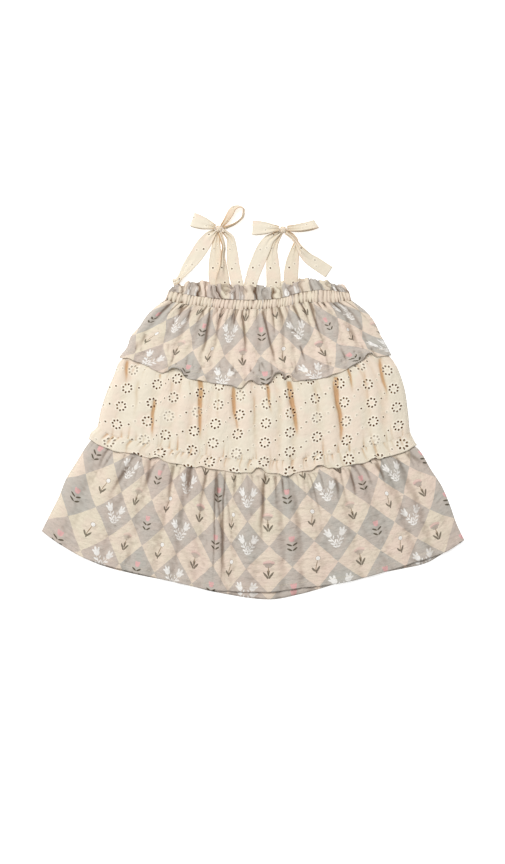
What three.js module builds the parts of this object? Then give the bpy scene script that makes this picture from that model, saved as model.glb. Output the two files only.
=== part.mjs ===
// A small child's sun dress laid flat on its back: three gathered tiers, an elastic neckline
// with a ruffled heading, and four ribbon straps tied in two bows.
// Millimetres. +Z is up from the table, +Y runs from hem to neckline, +X to the right as seen from above.
import * as THREE from "three";

// Cloth and seams
const WALL = 1.4; // a cloth wall, with the air that its crinkle holds
const SEAM_GAP = 0.3; // between the pieces that a seam joins
const LAYER = WALL + SEAM_GAP; // height of one layer of cloth laid on another

// Heights of an underside above the table, by the layers beneath it
const ON_TABLE = 0;
const OVER_ONE = LAYER; // a front tier at its side seam
const OVER_TWO = 2 * LAYER; // a front tier where the flounce of the back above it is tucked under
const OVER_THREE = 3 * LAYER + 0.1; // a flounce at its side seam

// Colours, from the cloth: a grey and cream diamond print, and cream eyelet cotton
const PRINT = { color: 0xcdc3b6, roughness: 0.92, metalness: 0 };
const EYELET = { color: 0xeaddca, roughness: 0.9, metalness: 0 };
const CREAM = { color: 0xe9dcc4, roughness: 0.92, metalness: 0 };

// Smooth edges: y along an edge by its share of the width, x of both sides by the share of the length
const CASING_TOP = [
  { s: 0, y: 155.8 },
  { s: 0.06, y: 152.3 },
  { s: 0.17, y: 147.4 },
  { s: 0.31, y: 143.9 },
  { s: 0.45, y: 142.5 },
  { s: 0.59, y: 143.9 },
  { s: 0.73, y: 153 },
  { s: 0.85, y: 156.6 },
  { s: 1, y: 153.4 },
];
const BODICE_TOP = [
  { s: 0, y: 143 },
  { s: 0.06, y: 139.5 },
  { s: 0.2, y: 134.5 },
  { s: 0.4, y: 130 },
  { s: 0.52, y: 130.5 },
  { s: 0.66, y: 135 },
  { s: 0.76, y: 140.5 },
  { s: 0.9, y: 139.5 },
  { s: 1, y: 143 },
];
const BODICE_EDGE = [
  { s: 0, y: 62.7 },
  { s: 0.075, y: 55 },
  { s: 0.15, y: 41.7 },
  { s: 0.25, y: 33.3 },
  { s: 0.35, y: 26.3 },
  { s: 0.45, y: 23.5 },
  { s: 0.55, y: 25.6 },
  { s: 0.65, y: 29.1 },
  { s: 0.75, y: 34 },
  { s: 0.83, y: 43.8 },
  { s: 0.9, y: 59.2 },
  { s: 1, y: 66.2 },
];
const MIDDLE_TOP = [
  { s: 0, y: 76 },
  { s: 0.1, y: 66.2 },
  { s: 0.25, y: 52.2 },
  { s: 0.45, y: 42.4 },
  { s: 0.55, y: 43.8 },
  { s: 0.75, y: 52.2 },
  { s: 0.9, y: 73.2 },
  { s: 1, y: 83 },
];
const MIDDLE_EDGE = [
  { s: 0, y: -51.5 },
  { s: 0.05, y: -64.1 },
  { s: 0.11, y: -70.4 },
  { s: 0.23, y: -83 },
  { s: 0.31, y: -90.7 },
  { s: 0.42, y: -96.3 },
  { s: 0.53, y: -99.1 },
  { s: 0.6, y: -99.8 },
  { s: 0.68, y: -94.9 },
  { s: 0.8, y: -87.9 },
  { s: 0.92, y: -75.3 },
  { s: 0.97, y: -67.6 },
  { s: 1, y: -59.9 },
];
const SKIRT_TOP = [
  { s: 0, y: -36 },
  { s: 0.1, y: -52.9 },
  { s: 0.25, y: -66.9 },
  { s: 0.45, y: -79.5 },
  { s: 0.6, y: -80.9 },
  { s: 0.75, y: -73.9 },
  { s: 0.9, y: -57 },
  { s: 1, y: -43 },
];
const FRONT_HEM = [
  { s: 0, y: -180.3 },
  { s: 0.043, y: -198.5 },
  { s: 0.114, y: -220.9 },
  { s: 0.244, y: -241.9 },
  { s: 0.327, y: -253.1 },
  { s: 0.412, y: -263.4 },
  { s: 0.528, y: -265.7 },
  { s: 0.611, y: -260.1 },
  { s: 0.706, y: -253.1 },
  { s: 0.789, y: -241.2 },
  { s: 0.884, y: -223.7 },
  { s: 0.955, y: -209.7 },
  { s: 1, y: -192.9 },
];
const BACK_HEM = [
  { s: 0, y: -179.6 },
  { s: 0.078, y: -209.7 },
  { s: 0.14, y: -228 },
  { s: 0.244, y: -243.3 },
  { s: 0.327, y: -252.6 },
  { s: 0.412, y: -265.7 },
  { s: 0.54, y: -275.8 },
  { s: 0.611, y: -268.5 },
  { s: 0.75, y: -244.7 },
  { s: 0.86, y: -232.1 },
  { s: 0.955, y: -209.7 },
  { s: 1, y: -192.9 },
];
const HEADING_TOP = [
  { s: 0, y: 160 },
  { s: 0.1, y: 164.2 },
  { s: 0.25, y: 165.6 },
  { s: 0.4, y: 162.8 },
  { s: 0.5, y: 161.2 },
  { s: 0.6, y: 163.5 },
  { s: 0.7, y: 166.3 },
  { s: 0.8, y: 171.9 },
  { s: 0.87, y: 168.4 },
  { s: 1, y: 159 },
];
const HEADING_SIDES = [
  { t: 0, left: -113.4, right: 128 },
  { t: 1, left: -117.6, right: 134.4 },
];
const CASING_SIDES = [
  { t: 0, left: -117.6, right: 134.4 },
  { t: 1, left: -123.2, right: 137.2 },
];
const BODICE_SIDES = [
  { t: 0, left: -123.2, right: 137.2 },
  { t: 0.15, left: -139.4, right: 153 },
  { t: 0.3, left: -150.4, right: 164.6 },
  { t: 0.45, left: -158.2, right: 171.8 },
  { t: 0.65, left: -171.6, right: 178.9 },
  { t: 0.8, left: -175.4, right: 185.5 },
  { t: 1, left: -186.9, right: 193.2 },
];
const MIDDLE_SIDES = [
  { t: 0, left: -171.2, right: 178.4 },
  { t: 0.06, left: -175.4, right: 182.6 },
  { t: 0.12, left: -182.4, right: 189 },
  { t: 0.17, left: -188.3, right: 195.4 },
  { t: 0.3, left: -194.6, right: 205.2 },
  { t: 0.48, left: -204.6, right: 212.8 },
  { t: 0.7, left: -213.5, right: 217 },
  { t: 0.86, left: -217.6, right: 219.2 },
  { t: 0.94, left: -227.4, right: 224 },
  { t: 1, left: -229.6, right: 228.9 },
];
const SKIRT_SIDES = [
  { t: 0, left: -213.4, right: 214.8 },
  { t: 0.06, left: -221.4, right: 218.6 },
  { t: 0.11, left: -225.1, right: 223.6 },
  { t: 0.15, left: -230.2, right: 231.2 },
  { t: 0.34, left: -247.8, right: 248.7 },
  { t: 0.5, left: -261.8, right: 264.2 },
  { t: 0.68, left: -272.2, right: 275.8 },
  { t: 0.84, left: -284, right: 284.2 },
  { t: 1, left: -295.4, right: 295.4 },
];

// Each front tier's underside, by the share of its length: its height at the side seams (rest), how much
// higher it lies away from them (loft), and the height of its gathers (wave)
const BODICE_LOFT = [
  { t: 0, rest: OVER_ONE, loft: 2.4, wave: 3.2 },
  { t: 0.25, rest: OVER_ONE, loft: 2.6, wave: 2.2 },
  { t: 0.6, rest: OVER_ONE, loft: 3, wave: 1.4 },
  { t: 0.82, rest: OVER_THREE, loft: 2.6, wave: 0.8 },
  { t: 1, rest: OVER_THREE, loft: 4, wave: 0.4 },
];
const MIDDLE_LOFT = [
  { t: 0, rest: OVER_TWO, loft: 1, wave: 0 },
  { t: 0.223, rest: OVER_TWO, loft: 1.8, wave: 2.2 },
  { t: 0.334, rest: OVER_ONE, loft: 3.4, wave: 2.8 },
  { t: 0.65, rest: OVER_ONE, loft: 3.8, wave: 2.6 },
  { t: 0.87, rest: OVER_THREE, loft: 2.2, wave: 0.8 },
  { t: 1, rest: OVER_THREE, loft: 3.6, wave: 0.4 },
];
const SKIRT_LOFT = [
  { t: 0, rest: OVER_TWO, loft: 1, wave: 0 },
  { t: 0.223, rest: OVER_TWO, loft: 1.6, wave: 2.2 },
  { t: 0.334, rest: OVER_ONE, loft: 3, wave: 2.4 },
  { t: 0.7, rest: OVER_ONE, loft: 2.2, wave: 1.8 },
  { t: 1, rest: OVER_ONE, loft: 1, wave: 1.4 },
];

// The deepest creases: where each starts and ends, its depth and half width
const BODICE_FOLDS = [
  { x0: -117, y0: 138, x1: -138, y1: 112, depth: 2.2, half: 5 },
  { x0: -59, y0: 132, x1: -70, y1: 66, depth: 3.4, half: 4 },
  { x0: -14, y0: 130, x1: -10, y1: 68, depth: 3.4, half: 4 },
  { x0: 14, y0: 128, x1: 32, y1: 50, depth: 3, half: 4 },
  { x0: 54, y0: 136, x1: 68, y1: 112, depth: 2.6, half: 4 },
  { x0: 78, y0: 142, x1: 100, y1: 80, depth: 3.2, half: 4.5 },
  { x0: 66, y0: 80, x1: 75, y1: 52, depth: 1.8, half: 4 },
];
const MIDDLE_FOLDS = [
  { x0: -176, y0: 60, x1: -178, y1: 24, depth: 2.6, half: 5 },
  { x0: -138, y0: 4, x1: -141, y1: -54, depth: 3.4, half: 3.5 },
  { x0: -73, y0: 34, x1: -74, y1: -58, depth: 5.4, half: 4.5 },
  { x0: -29, y0: 22, x1: -26, y1: -26, depth: 3, half: 5 },
  { x0: 19, y0: 28, x1: 26, y1: -20, depth: 3.2, half: 4 },
  { x0: 50, y0: 30, x1: 63, y1: -50, depth: 5, half: 4.5 },
  { x0: 114, y0: 36, x1: 125, y1: -62, depth: 5, half: 4.5 },
  { x0: 133, y0: 48, x1: 140, y1: 10, depth: 2.4, half: 4 },
  { x0: 176, y0: 62, x1: 190, y1: -6, depth: 2.8, half: 4.5 },
];
const SKIRT_FOLDS = [
  { x0: -172, y0: -84, x1: -208, y1: -138, depth: 2.4, half: 7 },
  { x0: -143, y0: -80, x1: -149, y1: -122, depth: 2.8, half: 5 },
  { x0: -88, y0: -90, x1: -92, y1: -140, depth: 3.2, half: 5 },
  { x0: -51, y0: -94, x1: -38, y1: -262, depth: 3, half: 6 },
  { x0: 16, y0: -100, x1: 10, y1: -196, depth: 3.6, half: 6 },
  { x0: 114, y0: -106, x1: 122, y1: -140, depth: 2, half: 5 },
  { x0: 134, y0: -92, x1: 145, y1: -140, depth: 3.2, half: 5 },
  { x0: 172, y0: -84, x1: 184, y1: -112, depth: 2.2, half: 5 },
  { x0: 217, y0: -70, x1: 252, y1: -94, depth: 2.4, half: 6 },
];

// Ripples of the free edges: where each lies across the width, how wide, how far its edge draws back, its rise
const BODICE_RIPPLES = [
  { s: 0.035, wide: 0.014, back: 2, rise: 1.4 },
  { s: 0.2, wide: 0.018, back: 9, rise: 5 },
  { s: 0.3, wide: 0.012, back: 1, rise: 1.6 },
  { s: 0.395, wide: 0.02, back: 0, rise: 1.8 },
  { s: 0.475, wide: 0.014, back: 6, rise: 3.6 },
  { s: 0.587, wide: 0.014, back: 13, rise: 5.4 },
  { s: 0.69, wide: 0.022, back: 0, rise: 1.8 },
  { s: 0.79, wide: 0.016, back: 1, rise: 1.4 },
  { s: 0.855, wide: 0.014, back: 2, rise: 2 },
  { s: 0.923, wide: 0.018, back: 5, rise: 4.4 },
];
const MIDDLE_RIPPLES = [
  { s: 0.085, wide: 0.02, back: -1, rise: 1.6 },
  { s: 0.14, wide: 0.012, back: 1, rise: 1.8 },
  { s: 0.207, wide: 0.014, back: 4, rise: 3.4 },
  { s: 0.27, wide: 0.014, back: 1, rise: 1.4 },
  { s: 0.345, wide: 0.012, back: 3, rise: 2.6 },
  { s: 0.39, wide: 0.012, back: 1, rise: 2 },
  { s: 0.455, wide: 0.018, back: -1, rise: 1.6 },
  { s: 0.52, wide: 0.014, back: 8, rise: 3.6 },
  { s: 0.6, wide: 0.02, back: -3, rise: 2 },
  { s: 0.706, wide: 0.016, back: 6, rise: 3.8 },
  { s: 0.76, wide: 0.012, back: -2, rise: 1.4 },
  { s: 0.8, wide: 0.012, back: 1, rise: 1.8 },
  { s: 0.868, wide: 0.012, back: 3, rise: 2.8 },
  { s: 0.935, wide: 0.016, back: 0, rise: 1.6 },
];

// Gathers across each front
const CASING_GATHERS = 40;
const HEADING_WAVES = 20;
const BODICE_GATHERS = 18;
const MIDDLE_GATHERS = 14;
const SKIRT_GATHERS = 16;

// The share of the length where a flounce leaves the seam above it
const BODICE_SEAM = 0.83;
const MIDDLE_SEAM = 0.87;
// Below this share of the length a back tier lies on the table
const BACK_REST_TO = 0.5;
// How far in from the side a front panel has risen by two thirds
const SIDE_RISE = 5;

// Elastic casing and heading
const CASING_THICK = 4.4; // the channel with its elastic
const CASING_PUFF = 1.2;
const HEADING_UNDER = 4.8; // the straps pass under it
const HEADING_WAVE = 3.2;
const BACK_HEADING_PEEK = 2.8; // it stands this far above the front one

// Ribbons: the straps and the bows
const RIBBON_THICK = 1.2;
const STRAP_STEPS = 16;
const LOOP_STEPS = 28;
const KNOT = { long: 11, wide: 10, high: 9 };
const LEFT_KNOT = { x: -47.6, y: 242.6 };
const RIGHT_KNOT = { x: 42, y: 241.2 };

// A centreline point of a ribbon: its place, its width there and how far it is turned on edge, in degrees
const RIBBONS = {
  strap_left_back: [
    { x: -50.8, y: 157.6, z: 2.3, width: 19, turn: 0 },
    { x: -51.2, y: 166, z: 2.3, width: 20, turn: 0 },
    { x: -52.5, y: 180, z: 2, width: 20, turn: 0 },
    { x: -52.5, y: 194, z: 0.8, width: 19, turn: 0 },
    { x: -52.2, y: 208, z: 0.8, width: 16, turn: 0 },
    { x: -51.5, y: 222, z: 0.8, width: 11, turn: 0 },
    { x: -49.4, y: 239, z: 0.8, width: 6, turn: 0 },
  ],
  strap_left_front: [
    { x: -43, y: 157.6, z: 3.9, width: 19, turn: 0 },
    { x: -42.8, y: 167, z: 3.9, width: 19, turn: 0 },
    { x: -42.2, y: 179, z: 5.2, width: 16, turn: 20 },
    { x: -41.6, y: 192, z: 5.8, width: 11, turn: 42 },
    { x: -42, y: 204, z: 5.6, width: 8.5, turn: 58 },
    { x: -40.8, y: 216, z: 5.4, width: 7.5, turn: 66 },
    { x: -43, y: 227, z: 5, width: 6.4, turn: 50 },
    { x: -46, y: 237.2, z: 4.2, width: 5, turn: 6 },
  ],
  tail_left_inner: [
    { x: -20.6, y: 157.6, z: 3.9, width: 17, turn: 0 },
    { x: -22.4, y: 167, z: 3.9, width: 17, turn: 0 },
    { x: -25, y: 180, z: 2, width: 17, turn: 0 },
    { x: -28, y: 196, z: 1.2, width: 17, turn: 0 },
    { x: -29.4, y: 212, z: 1.4, width: 15, turn: -4 },
    { x: -31, y: 227, z: 3, width: 11.4, turn: -12 },
    { x: -42, y: 240.2, z: 4.6, width: 4.6, turn: -4 },
  ],
  tail_left_outer: [
    { x: -52.4, y: 239.4, z: 4, width: 5.6, turn: 0 },
    { x: -62, y: 230.4, z: 3, width: 16, turn: 0 },
    { x: -71.4, y: 217.4, z: 1.8, width: 20, turn: 0 },
    { x: -80.4, y: 204, z: 1.4, width: 19, turn: 2 },
    { x: -89.6, y: 191.6, z: 2.6, width: 16, turn: 12 },
    { x: -97, y: 181, z: 4.8, width: 13, turn: 32 },
    { x: -102, y: 174.4, z: 5.2, width: 10, turn: 42 },
    { x: -106, y: 169.6, z: 4.2, width: 9, turn: 30 },
    { x: -111.6, y: 167.4, z: 2.4, width: 9, turn: 8 },
  ],
  strap_right_back: [
    { x: 28.7, y: 157.6, z: 2.3, width: 20, turn: 0 },
    { x: 28.7, y: 166, z: 2.3, width: 20, turn: 0 },
    { x: 28.4, y: 180, z: 2, width: 20, turn: 0 },
    { x: 27.4, y: 194, z: 0.8, width: 18, turn: 0 },
    { x: 27.4, y: 208, z: 0.8, width: 14, turn: 0 },
    { x: 30.6, y: 221, z: 0.8, width: 9, turn: 0 },
    { x: 39.6, y: 238, z: 0.8, width: 5, turn: 0 },
  ],
  strap_right_front: [
    { x: 52.5, y: 157.6, z: 2.3, width: 20, turn: 0 },
    { x: 52.6, y: 166, z: 2.3, width: 20, turn: 0 },
    { x: 53.2, y: 180, z: 2, width: 20, turn: 0 },
    { x: 55.2, y: 196, z: 0.8, width: 18, turn: 0 },
    { x: 58.2, y: 212, z: 0.8, width: 12, turn: 0 },
    { x: 60.2, y: 225, z: 0.8, width: 6, turn: 0 },
    { x: 54.4, y: 234, z: 0.8, width: 5, turn: 0 },
    { x: 45.4, y: 239, z: 0.8, width: 4, turn: 0 },
  ],
  tail_right_inner: [
    { x: -5, y: 157.6, z: 2.3, width: 18, turn: 0 },
    { x: -3.4, y: 166, z: 2.3, width: 18, turn: 0 },
    { x: 0.6, y: 180, z: 2, width: 19, turn: 0 },
    { x: 7, y: 196.4, z: 2.4, width: 20, turn: 0 },
    { x: 14, y: 213, z: 2.8, width: 19.6, turn: 0 },
    { x: 21.6, y: 226, z: 2.8, width: 15, turn: 0 },
    { x: 37.7, y: 237.7, z: 3.9, width: 5, turn: 0 },
  ],
  tail_right_outer: [
    { x: 45.8, y: 237, z: 5, width: 4.6, turn: 20 },
    { x: 55, y: 230.6, z: 5.4, width: 6, turn: 46 },
    { x: 61.8, y: 222, z: 5.4, width: 7.6, turn: 46 },
    { x: 67.6, y: 211.8, z: 4.8, width: 11, turn: 24 },
    { x: 77, y: 201.6, z: 2.2, width: 15, turn: 6 },
    { x: 89.4, y: 193.4, z: 1.2, width: 17.4, turn: 0 },
    { x: 106.6, y: 182, z: 0.8, width: 17.6, turn: 0 },
  ],
  loop_left_outer: [
    { x: -53.1, y: 244.4, z: 5.8, width: 6, turn: 0 },
    { x: -60, y: 246.8, z: 4.8, width: 11, turn: 0 },
    { x: -70, y: 250.2, z: 2.6, width: 17, turn: 0 },
    { x: -80, y: 253.6, z: 2.2, width: 19.6, turn: 0 },
    { x: -84.6, y: 255.2, z: 5.4, width: 19.8, turn: 0 },
    { x: -80.4, y: 253.8, z: 8.6, width: 19.6, turn: 0 },
    { x: -70, y: 250.4, z: 9.6, width: 17, turn: 0 },
    { x: -60, y: 246.9, z: 9.2, width: 11, turn: 0 },
    { x: -52.8, y: 244.5, z: 8.4, width: 6, turn: 0 },
  ],
  loop_left_inner: [
    { x: -43.5, y: 245.8, z: 6.6, width: 5, turn: -20 },
    { x: -38, y: 252.8, z: 7.2, width: 9, turn: -34 },
    { x: -32, y: 263, z: 8, width: 12, turn: -40 },
    { x: -27, y: 270.6, z: 8.6, width: 13.4, turn: -56 },
    { x: -19.6, y: 273.2, z: 9, width: 13.6, turn: -76 },
    { x: -12.6, y: 269.4, z: 9, width: 13.6, turn: -84 },
    { x: -13.6, y: 260.4, z: 8.4, width: 12.4, turn: -80 },
    { x: -21, y: 252, z: 7, width: 10, turn: -76 },
    { x: -31, y: 246.2, z: 6, width: 7.6, turn: -64 },
    { x: -41.6, y: 242.9, z: 5, width: 5, turn: -50 },
  ],
  loop_right_inner: [
    { x: 36.2, y: 242.2, z: 6, width: 7, turn: 0 },
    { x: 29, y: 242.6, z: 5.4, width: 10, turn: 0 },
    { x: 18, y: 243, z: 3.4, width: 16, turn: 0 },
    { x: 5, y: 243.6, z: 2.2, width: 19.8, turn: 0 },
    { x: -0.6, y: 243.8, z: 5.4, width: 20.2, turn: 0 },
    { x: 5, y: 243.6, z: 8.6, width: 19.8, turn: 0 },
    { x: 18, y: 243.1, z: 9.6, width: 16, turn: 0 },
    { x: 29, y: 242.7, z: 9.4, width: 10, turn: 0 },
    { x: 36.2, y: 242.3, z: 8.6, width: 7, turn: 0 },
  ],
  loop_right_outer: [
    { x: 47.8, y: 242.4, z: 6, width: 7, turn: 0 },
    { x: 56, y: 242.8, z: 4.4, width: 9, turn: 4 },
    { x: 68, y: 243.8, z: 2.8, width: 11.4, turn: 8 },
    { x: 80, y: 246.2, z: 2.8, width: 12.6, turn: 10 },
    { x: 88.4, y: 249, z: 6.4, width: 13, turn: 14 },
    { x: 82.4, y: 247.6, z: 10, width: 12.6, turn: 20 },
    { x: 70, y: 244.8, z: 10.6, width: 11.4, turn: 16 },
    { x: 57, y: 243, z: 10, width: 9, turn: 8 },
    { x: 47.8, y: 242.5, z: 8.8, width: 7, turn: 0 },
  ],
};

// A column's value at a place in a table, on a smooth curve through the rows that never overshoots
function along(table, place, column, at) {
  const last = table.length - 1;
  let i = 0;
  while (i < last - 1 && table[i + 1][place] < at) i++;
  const grade = (k) => (table[k + 1][column] - table[k][column]) / (table[k + 1][place] - table[k][place]);
  const slope = (k) => {
    if (k === 0) return grade(0);
    if (k === last) return grade(last - 1);
    const before = grade(k - 1);
    const after = grade(k);
    return before * after > 0 ? (2 * before * after) / (before + after) : 0;
  };
  const a = table[i];
  const b = table[i + 1];
  const run = b[place] - a[place];
  const u = THREE.MathUtils.clamp((at - a[place]) / run, 0, 1);
  const u2 = u * u;
  const u3 = u2 * u;
  return (
    a[column] * (2 * u3 - 3 * u2 + 1) +
    slope(i) * run * (u3 - 2 * u2 + u) +
    b[column] * (3 * u2 - 2 * u3) +
    slope(i + 1) * run * (u3 - u2)
  );
}

// Where a share s of the width and t of the length of a panel lies on the table
function placeOn(panel, s, t) {
  const left = along(panel.sides, "t", "left", t);
  const right = along(panel.sides, "t", "right", t);
  const top = along(panel.top, "s", "y", s);
  const bottom = along(panel.bottom, "s", "y", s);
  return {
    x: THREE.MathUtils.lerp(left, right, s),
    y: THREE.MathUtils.lerp(top, bottom, t),
    inFromSide: Math.min(s, 1 - s) * (right - left),
  };
}

// Gathers as crests from 0 to 1, unevenly spaced
function gathers(s, count) {
  const uneven = s + 0.011 * Math.sin(19.7 * s + 1) + 0.006 * Math.sin(41.3 * s);
  return 0.5 - 0.5 * Math.cos(2 * Math.PI * count * uneven);
}

// How deep a point lies in the creases
function creaseDepth(folds, x, y) {
  let depth = 0;
  for (const fold of folds) {
    const run = new THREE.Vector2(fold.x1 - fold.x0, fold.y1 - fold.y0);
    const from = new THREE.Vector2(x - fold.x0, y - fold.y0);
    const share = from.dot(run) / run.lengthSq();
    if (share <= 0 || share >= 1) continue;
    const off = (from.x * run.y - from.y * run.x) / run.length() / fold.half;
    const taper = Math.sin(Math.PI * Math.sqrt(share));
    depth += fold.depth * taper * Math.exp(-off * off);
  }
  return depth;
}

// A front tier, raised on air, gathered, creased and rippled at its free edge
function frontTier(panel) {
  return (s, t) => {
    const at = placeOn(panel, s, t);
    const risen = 1 - Math.exp(-at.inFromSide / SIDE_RISE);
    const loft = along(panel.loft, "t", "loft", t);
    const wave = along(panel.loft, "t", "wave", t) * gathers(s, panel.gathers);
    const crease = creaseDepth(panel.folds, at.x, at.y);
    let lift = Math.max(risen * (loft + wave - crease), 0);
    let y = at.y;
    if (t > panel.seam) {
      const free = (t - panel.seam) / (1 - panel.seam);
      for (const ripple of panel.ripples) {
        const bump = Math.exp(-(((s - ripple.s) / ripple.wide) ** 2));
        lift += free * bump * ripple.rise;
        y += free * free * bump * ripple.back;
      }
    }
    return new THREE.Vector3(at.x, y, along(panel.loft, "t", "rest", t) + lift);
  };
}

// A back tier: a layer and a seam gap below the front one's side seams, but for its flounce on the table
function backTier(panel) {
  return (s, t) => {
    const at = placeOn(panel, s, t);
    const rest = along(panel.loft, "t", "rest", Math.min(t, BACK_REST_TO)) - LAYER;
    return new THREE.Vector3(at.x, at.y, Math.max(rest, ON_TABLE));
  };
}

// The closed wall over a grid of underside points, with a thickness that may vary
function wallGeometry(pointAt, columns, rows, thickAt = () => WALL) {
  const positions = [];
  for (const side of [0, 1]) {
    for (let j = 0; j <= rows; j++) {
      for (let i = 0; i <= columns; i++) {
        const s = i / columns;
        const t = j / rows;
        const p = pointAt(s, t);
        positions.push(p.x, p.y, p.z + side * thickAt(s, t));
      }
    }
  }
  const upper = (columns + 1) * (rows + 1);
  const at = (i, j) => j * (columns + 1) + i;
  const index = [];
  const quad = (a, b, c, d) => index.push(a, b, c, a, c, d);
  for (let j = 0; j < rows; j++) {
    for (let i = 0; i < columns; i++) {
      const [a, b, c, d] = [at(i, j), at(i, j + 1), at(i + 1, j + 1), at(i + 1, j)];
      quad(upper + a, upper + b, upper + c, upper + d);
      quad(d, c, b, a);
    }
  }
  for (let i = 0; i < columns; i++) {
    quad(at(i, 0), upper + at(i, 0), upper + at(i + 1, 0), at(i + 1, 0));
    quad(at(i + 1, rows), upper + at(i + 1, rows), upper + at(i, rows), at(i, rows));
  }
  for (let j = 0; j < rows; j++) {
    quad(at(0, j + 1), upper + at(0, j + 1), upper + at(0, j), at(0, j));
    quad(at(columns, j), upper + at(columns, j), upper + at(columns, j + 1), at(columns, j + 1));
  }
  const geometry = new THREE.BufferGeometry();
  geometry.setAttribute("position", new THREE.Float32BufferAttribute(positions, 3));
  geometry.setIndex(index);
  geometry.computeVertexNormals();
  return geometry;
}

// A ribbon: a flat section carried along its centreline and turned about it. A strap's section is level
// before it is turned, and a loop's keeps its side, because its leaf turns over
function ribbonGeometry(rows, steps, isLoop) {
  const shares = rows.map((row, i) => ({ ...row, share: i / (rows.length - 1) }));
  const at = (share) => {
    const value = (column) => along(shares, "share", column, share);
    const [x, y, z, width, turn] = ["x", "y", "z", "width", "turn"].map(value);
    return { place: new THREE.Vector3(x, y, z), width, turn };
  };
  const up = new THREE.Vector3(0, 0, 1);
  const positions = [];
  let side = null;
  for (let i = 0; i <= steps; i++) {
    const { place, width, turn } = at(i / steps);
    const ahead = at(Math.min((i + 0.5) / steps, 1)).place;
    const tangent = ahead.sub(at(Math.max((i - 0.5) / steps, 0)).place).normalize();
    if (!side || !isLoop) side = new THREE.Vector3().crossVectors(tangent, up);
    side.addScaledVector(tangent, -side.dot(tangent)).normalize();
    const edge = side.clone().applyAxisAngle(tangent, THREE.MathUtils.degToRad(turn));
    const face = new THREE.Vector3().crossVectors(tangent, edge);
    for (const [across, through] of [[-1, -1], [1, -1], [1, 1], [-1, 1]]) {
      const corner = place.clone();
      corner.addScaledVector(edge, (across * width) / 2);
      corner.addScaledVector(face, (through * RIBBON_THICK) / 2);
      positions.push(corner.x, corner.y, corner.z);
    }
  }
  const index = [];
  for (let i = 0; i < steps; i++) {
    for (let k = 0; k < 4; k++) {
      const [a, b] = [4 * i + k, 4 * i + ((k + 1) % 4)];
      index.push(a, b, b + 4, a, b + 4, a + 4);
    }
  }
  const end = 4 * steps;
  index.push(0, 2, 1, 0, 3, 2);
  index.push(end, end + 1, end + 2, end, end + 2, end + 3);
  const geometry = new THREE.BufferGeometry();
  geometry.setAttribute("position", new THREE.Float32BufferAttribute(positions, 3));
  geometry.setIndex(index);
  geometry.computeVertexNormals();
  return geometry;
}

// A knot: a rounded lump, flat where it rests
function knotGeometry() {
  const geometry = new THREE.SphereGeometry(0.5, 14, 9);
  geometry.rotateX(Math.PI / 2);
  geometry.scale(KNOT.long, KNOT.wide, KNOT.high);
  geometry.translate(0, 0, KNOT.high / 2);
  return geometry;
}

const dress = new THREE.Group();

function add(name, geometry, finish) {
  const mesh = new THREE.Mesh(geometry, new THREE.MeshStandardMaterial(finish));
  mesh.name = name;
  dress.add(mesh);
  return mesh;
}

const shifted = (table, by) => table.map((row) => ({ ...row, y: row.y + by }));

const bodice = {
  top: BODICE_TOP,
  bottom: BODICE_EDGE,
  sides: BODICE_SIDES,
  loft: BODICE_LOFT,
  folds: BODICE_FOLDS,
  ripples: BODICE_RIPPLES,
  gathers: BODICE_GATHERS,
  seam: BODICE_SEAM,
};
const middle = {
  top: MIDDLE_TOP,
  bottom: MIDDLE_EDGE,
  sides: MIDDLE_SIDES,
  loft: MIDDLE_LOFT,
  folds: MIDDLE_FOLDS,
  ripples: MIDDLE_RIPPLES,
  gathers: MIDDLE_GATHERS,
  seam: MIDDLE_SEAM,
};
const skirt = {
  top: SKIRT_TOP,
  bottom: FRONT_HEM,
  sides: SKIRT_SIDES,
  loft: SKIRT_LOFT,
  folds: SKIRT_FOLDS,
  ripples: [],
  gathers: SKIRT_GATHERS,
  seam: 1,
};
const casing = {
  top: shifted(CASING_TOP, 0),
  bottom: shifted(BODICE_TOP, SEAM_GAP),
  sides: CASING_SIDES,
};
const heading = {
  top: HEADING_TOP,
  bottom: shifted(CASING_TOP, SEAM_GAP),
  sides: HEADING_SIDES,
};

add("bodice_front", wallGeometry(frontTier(bodice), 72, 8), PRINT);
add("bodice_back", wallGeometry(backTier(bodice), 24, 4), PRINT);
add("middle_front", wallGeometry(frontTier(middle), 72, 9), EYELET);
add("middle_back", wallGeometry(backTier(middle), 24, 9), EYELET);
add("skirt_front", wallGeometry(frontTier(skirt), 64, 9), PRINT);
add("skirt_back", wallGeometry(backTier({ ...skirt, bottom: BACK_HEM }), 32, 9), PRINT);

// The casing's upper face is gathered and domed over the elastic
function casingThick(s, t) {
  const dome = Math.sin(Math.PI * (0.15 + 0.7 * t));
  return CASING_THICK * dome + CASING_PUFF * gathers(s, CASING_GATHERS);
}
const casingUnder = (s, t) => {
  const at = placeOn(casing, s, t);
  return new THREE.Vector3(at.x, at.y, OVER_ONE);
};
add("casing_front", wallGeometry(casingUnder, 120, 2, casingThick), PRINT);
const casingBack = (s, t) => {
  const at = placeOn(casing, s, t);
  return new THREE.Vector3(at.x, at.y, ON_TABLE);
};
add("casing_back", wallGeometry(casingBack, 40, 1), PRINT);

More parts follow.
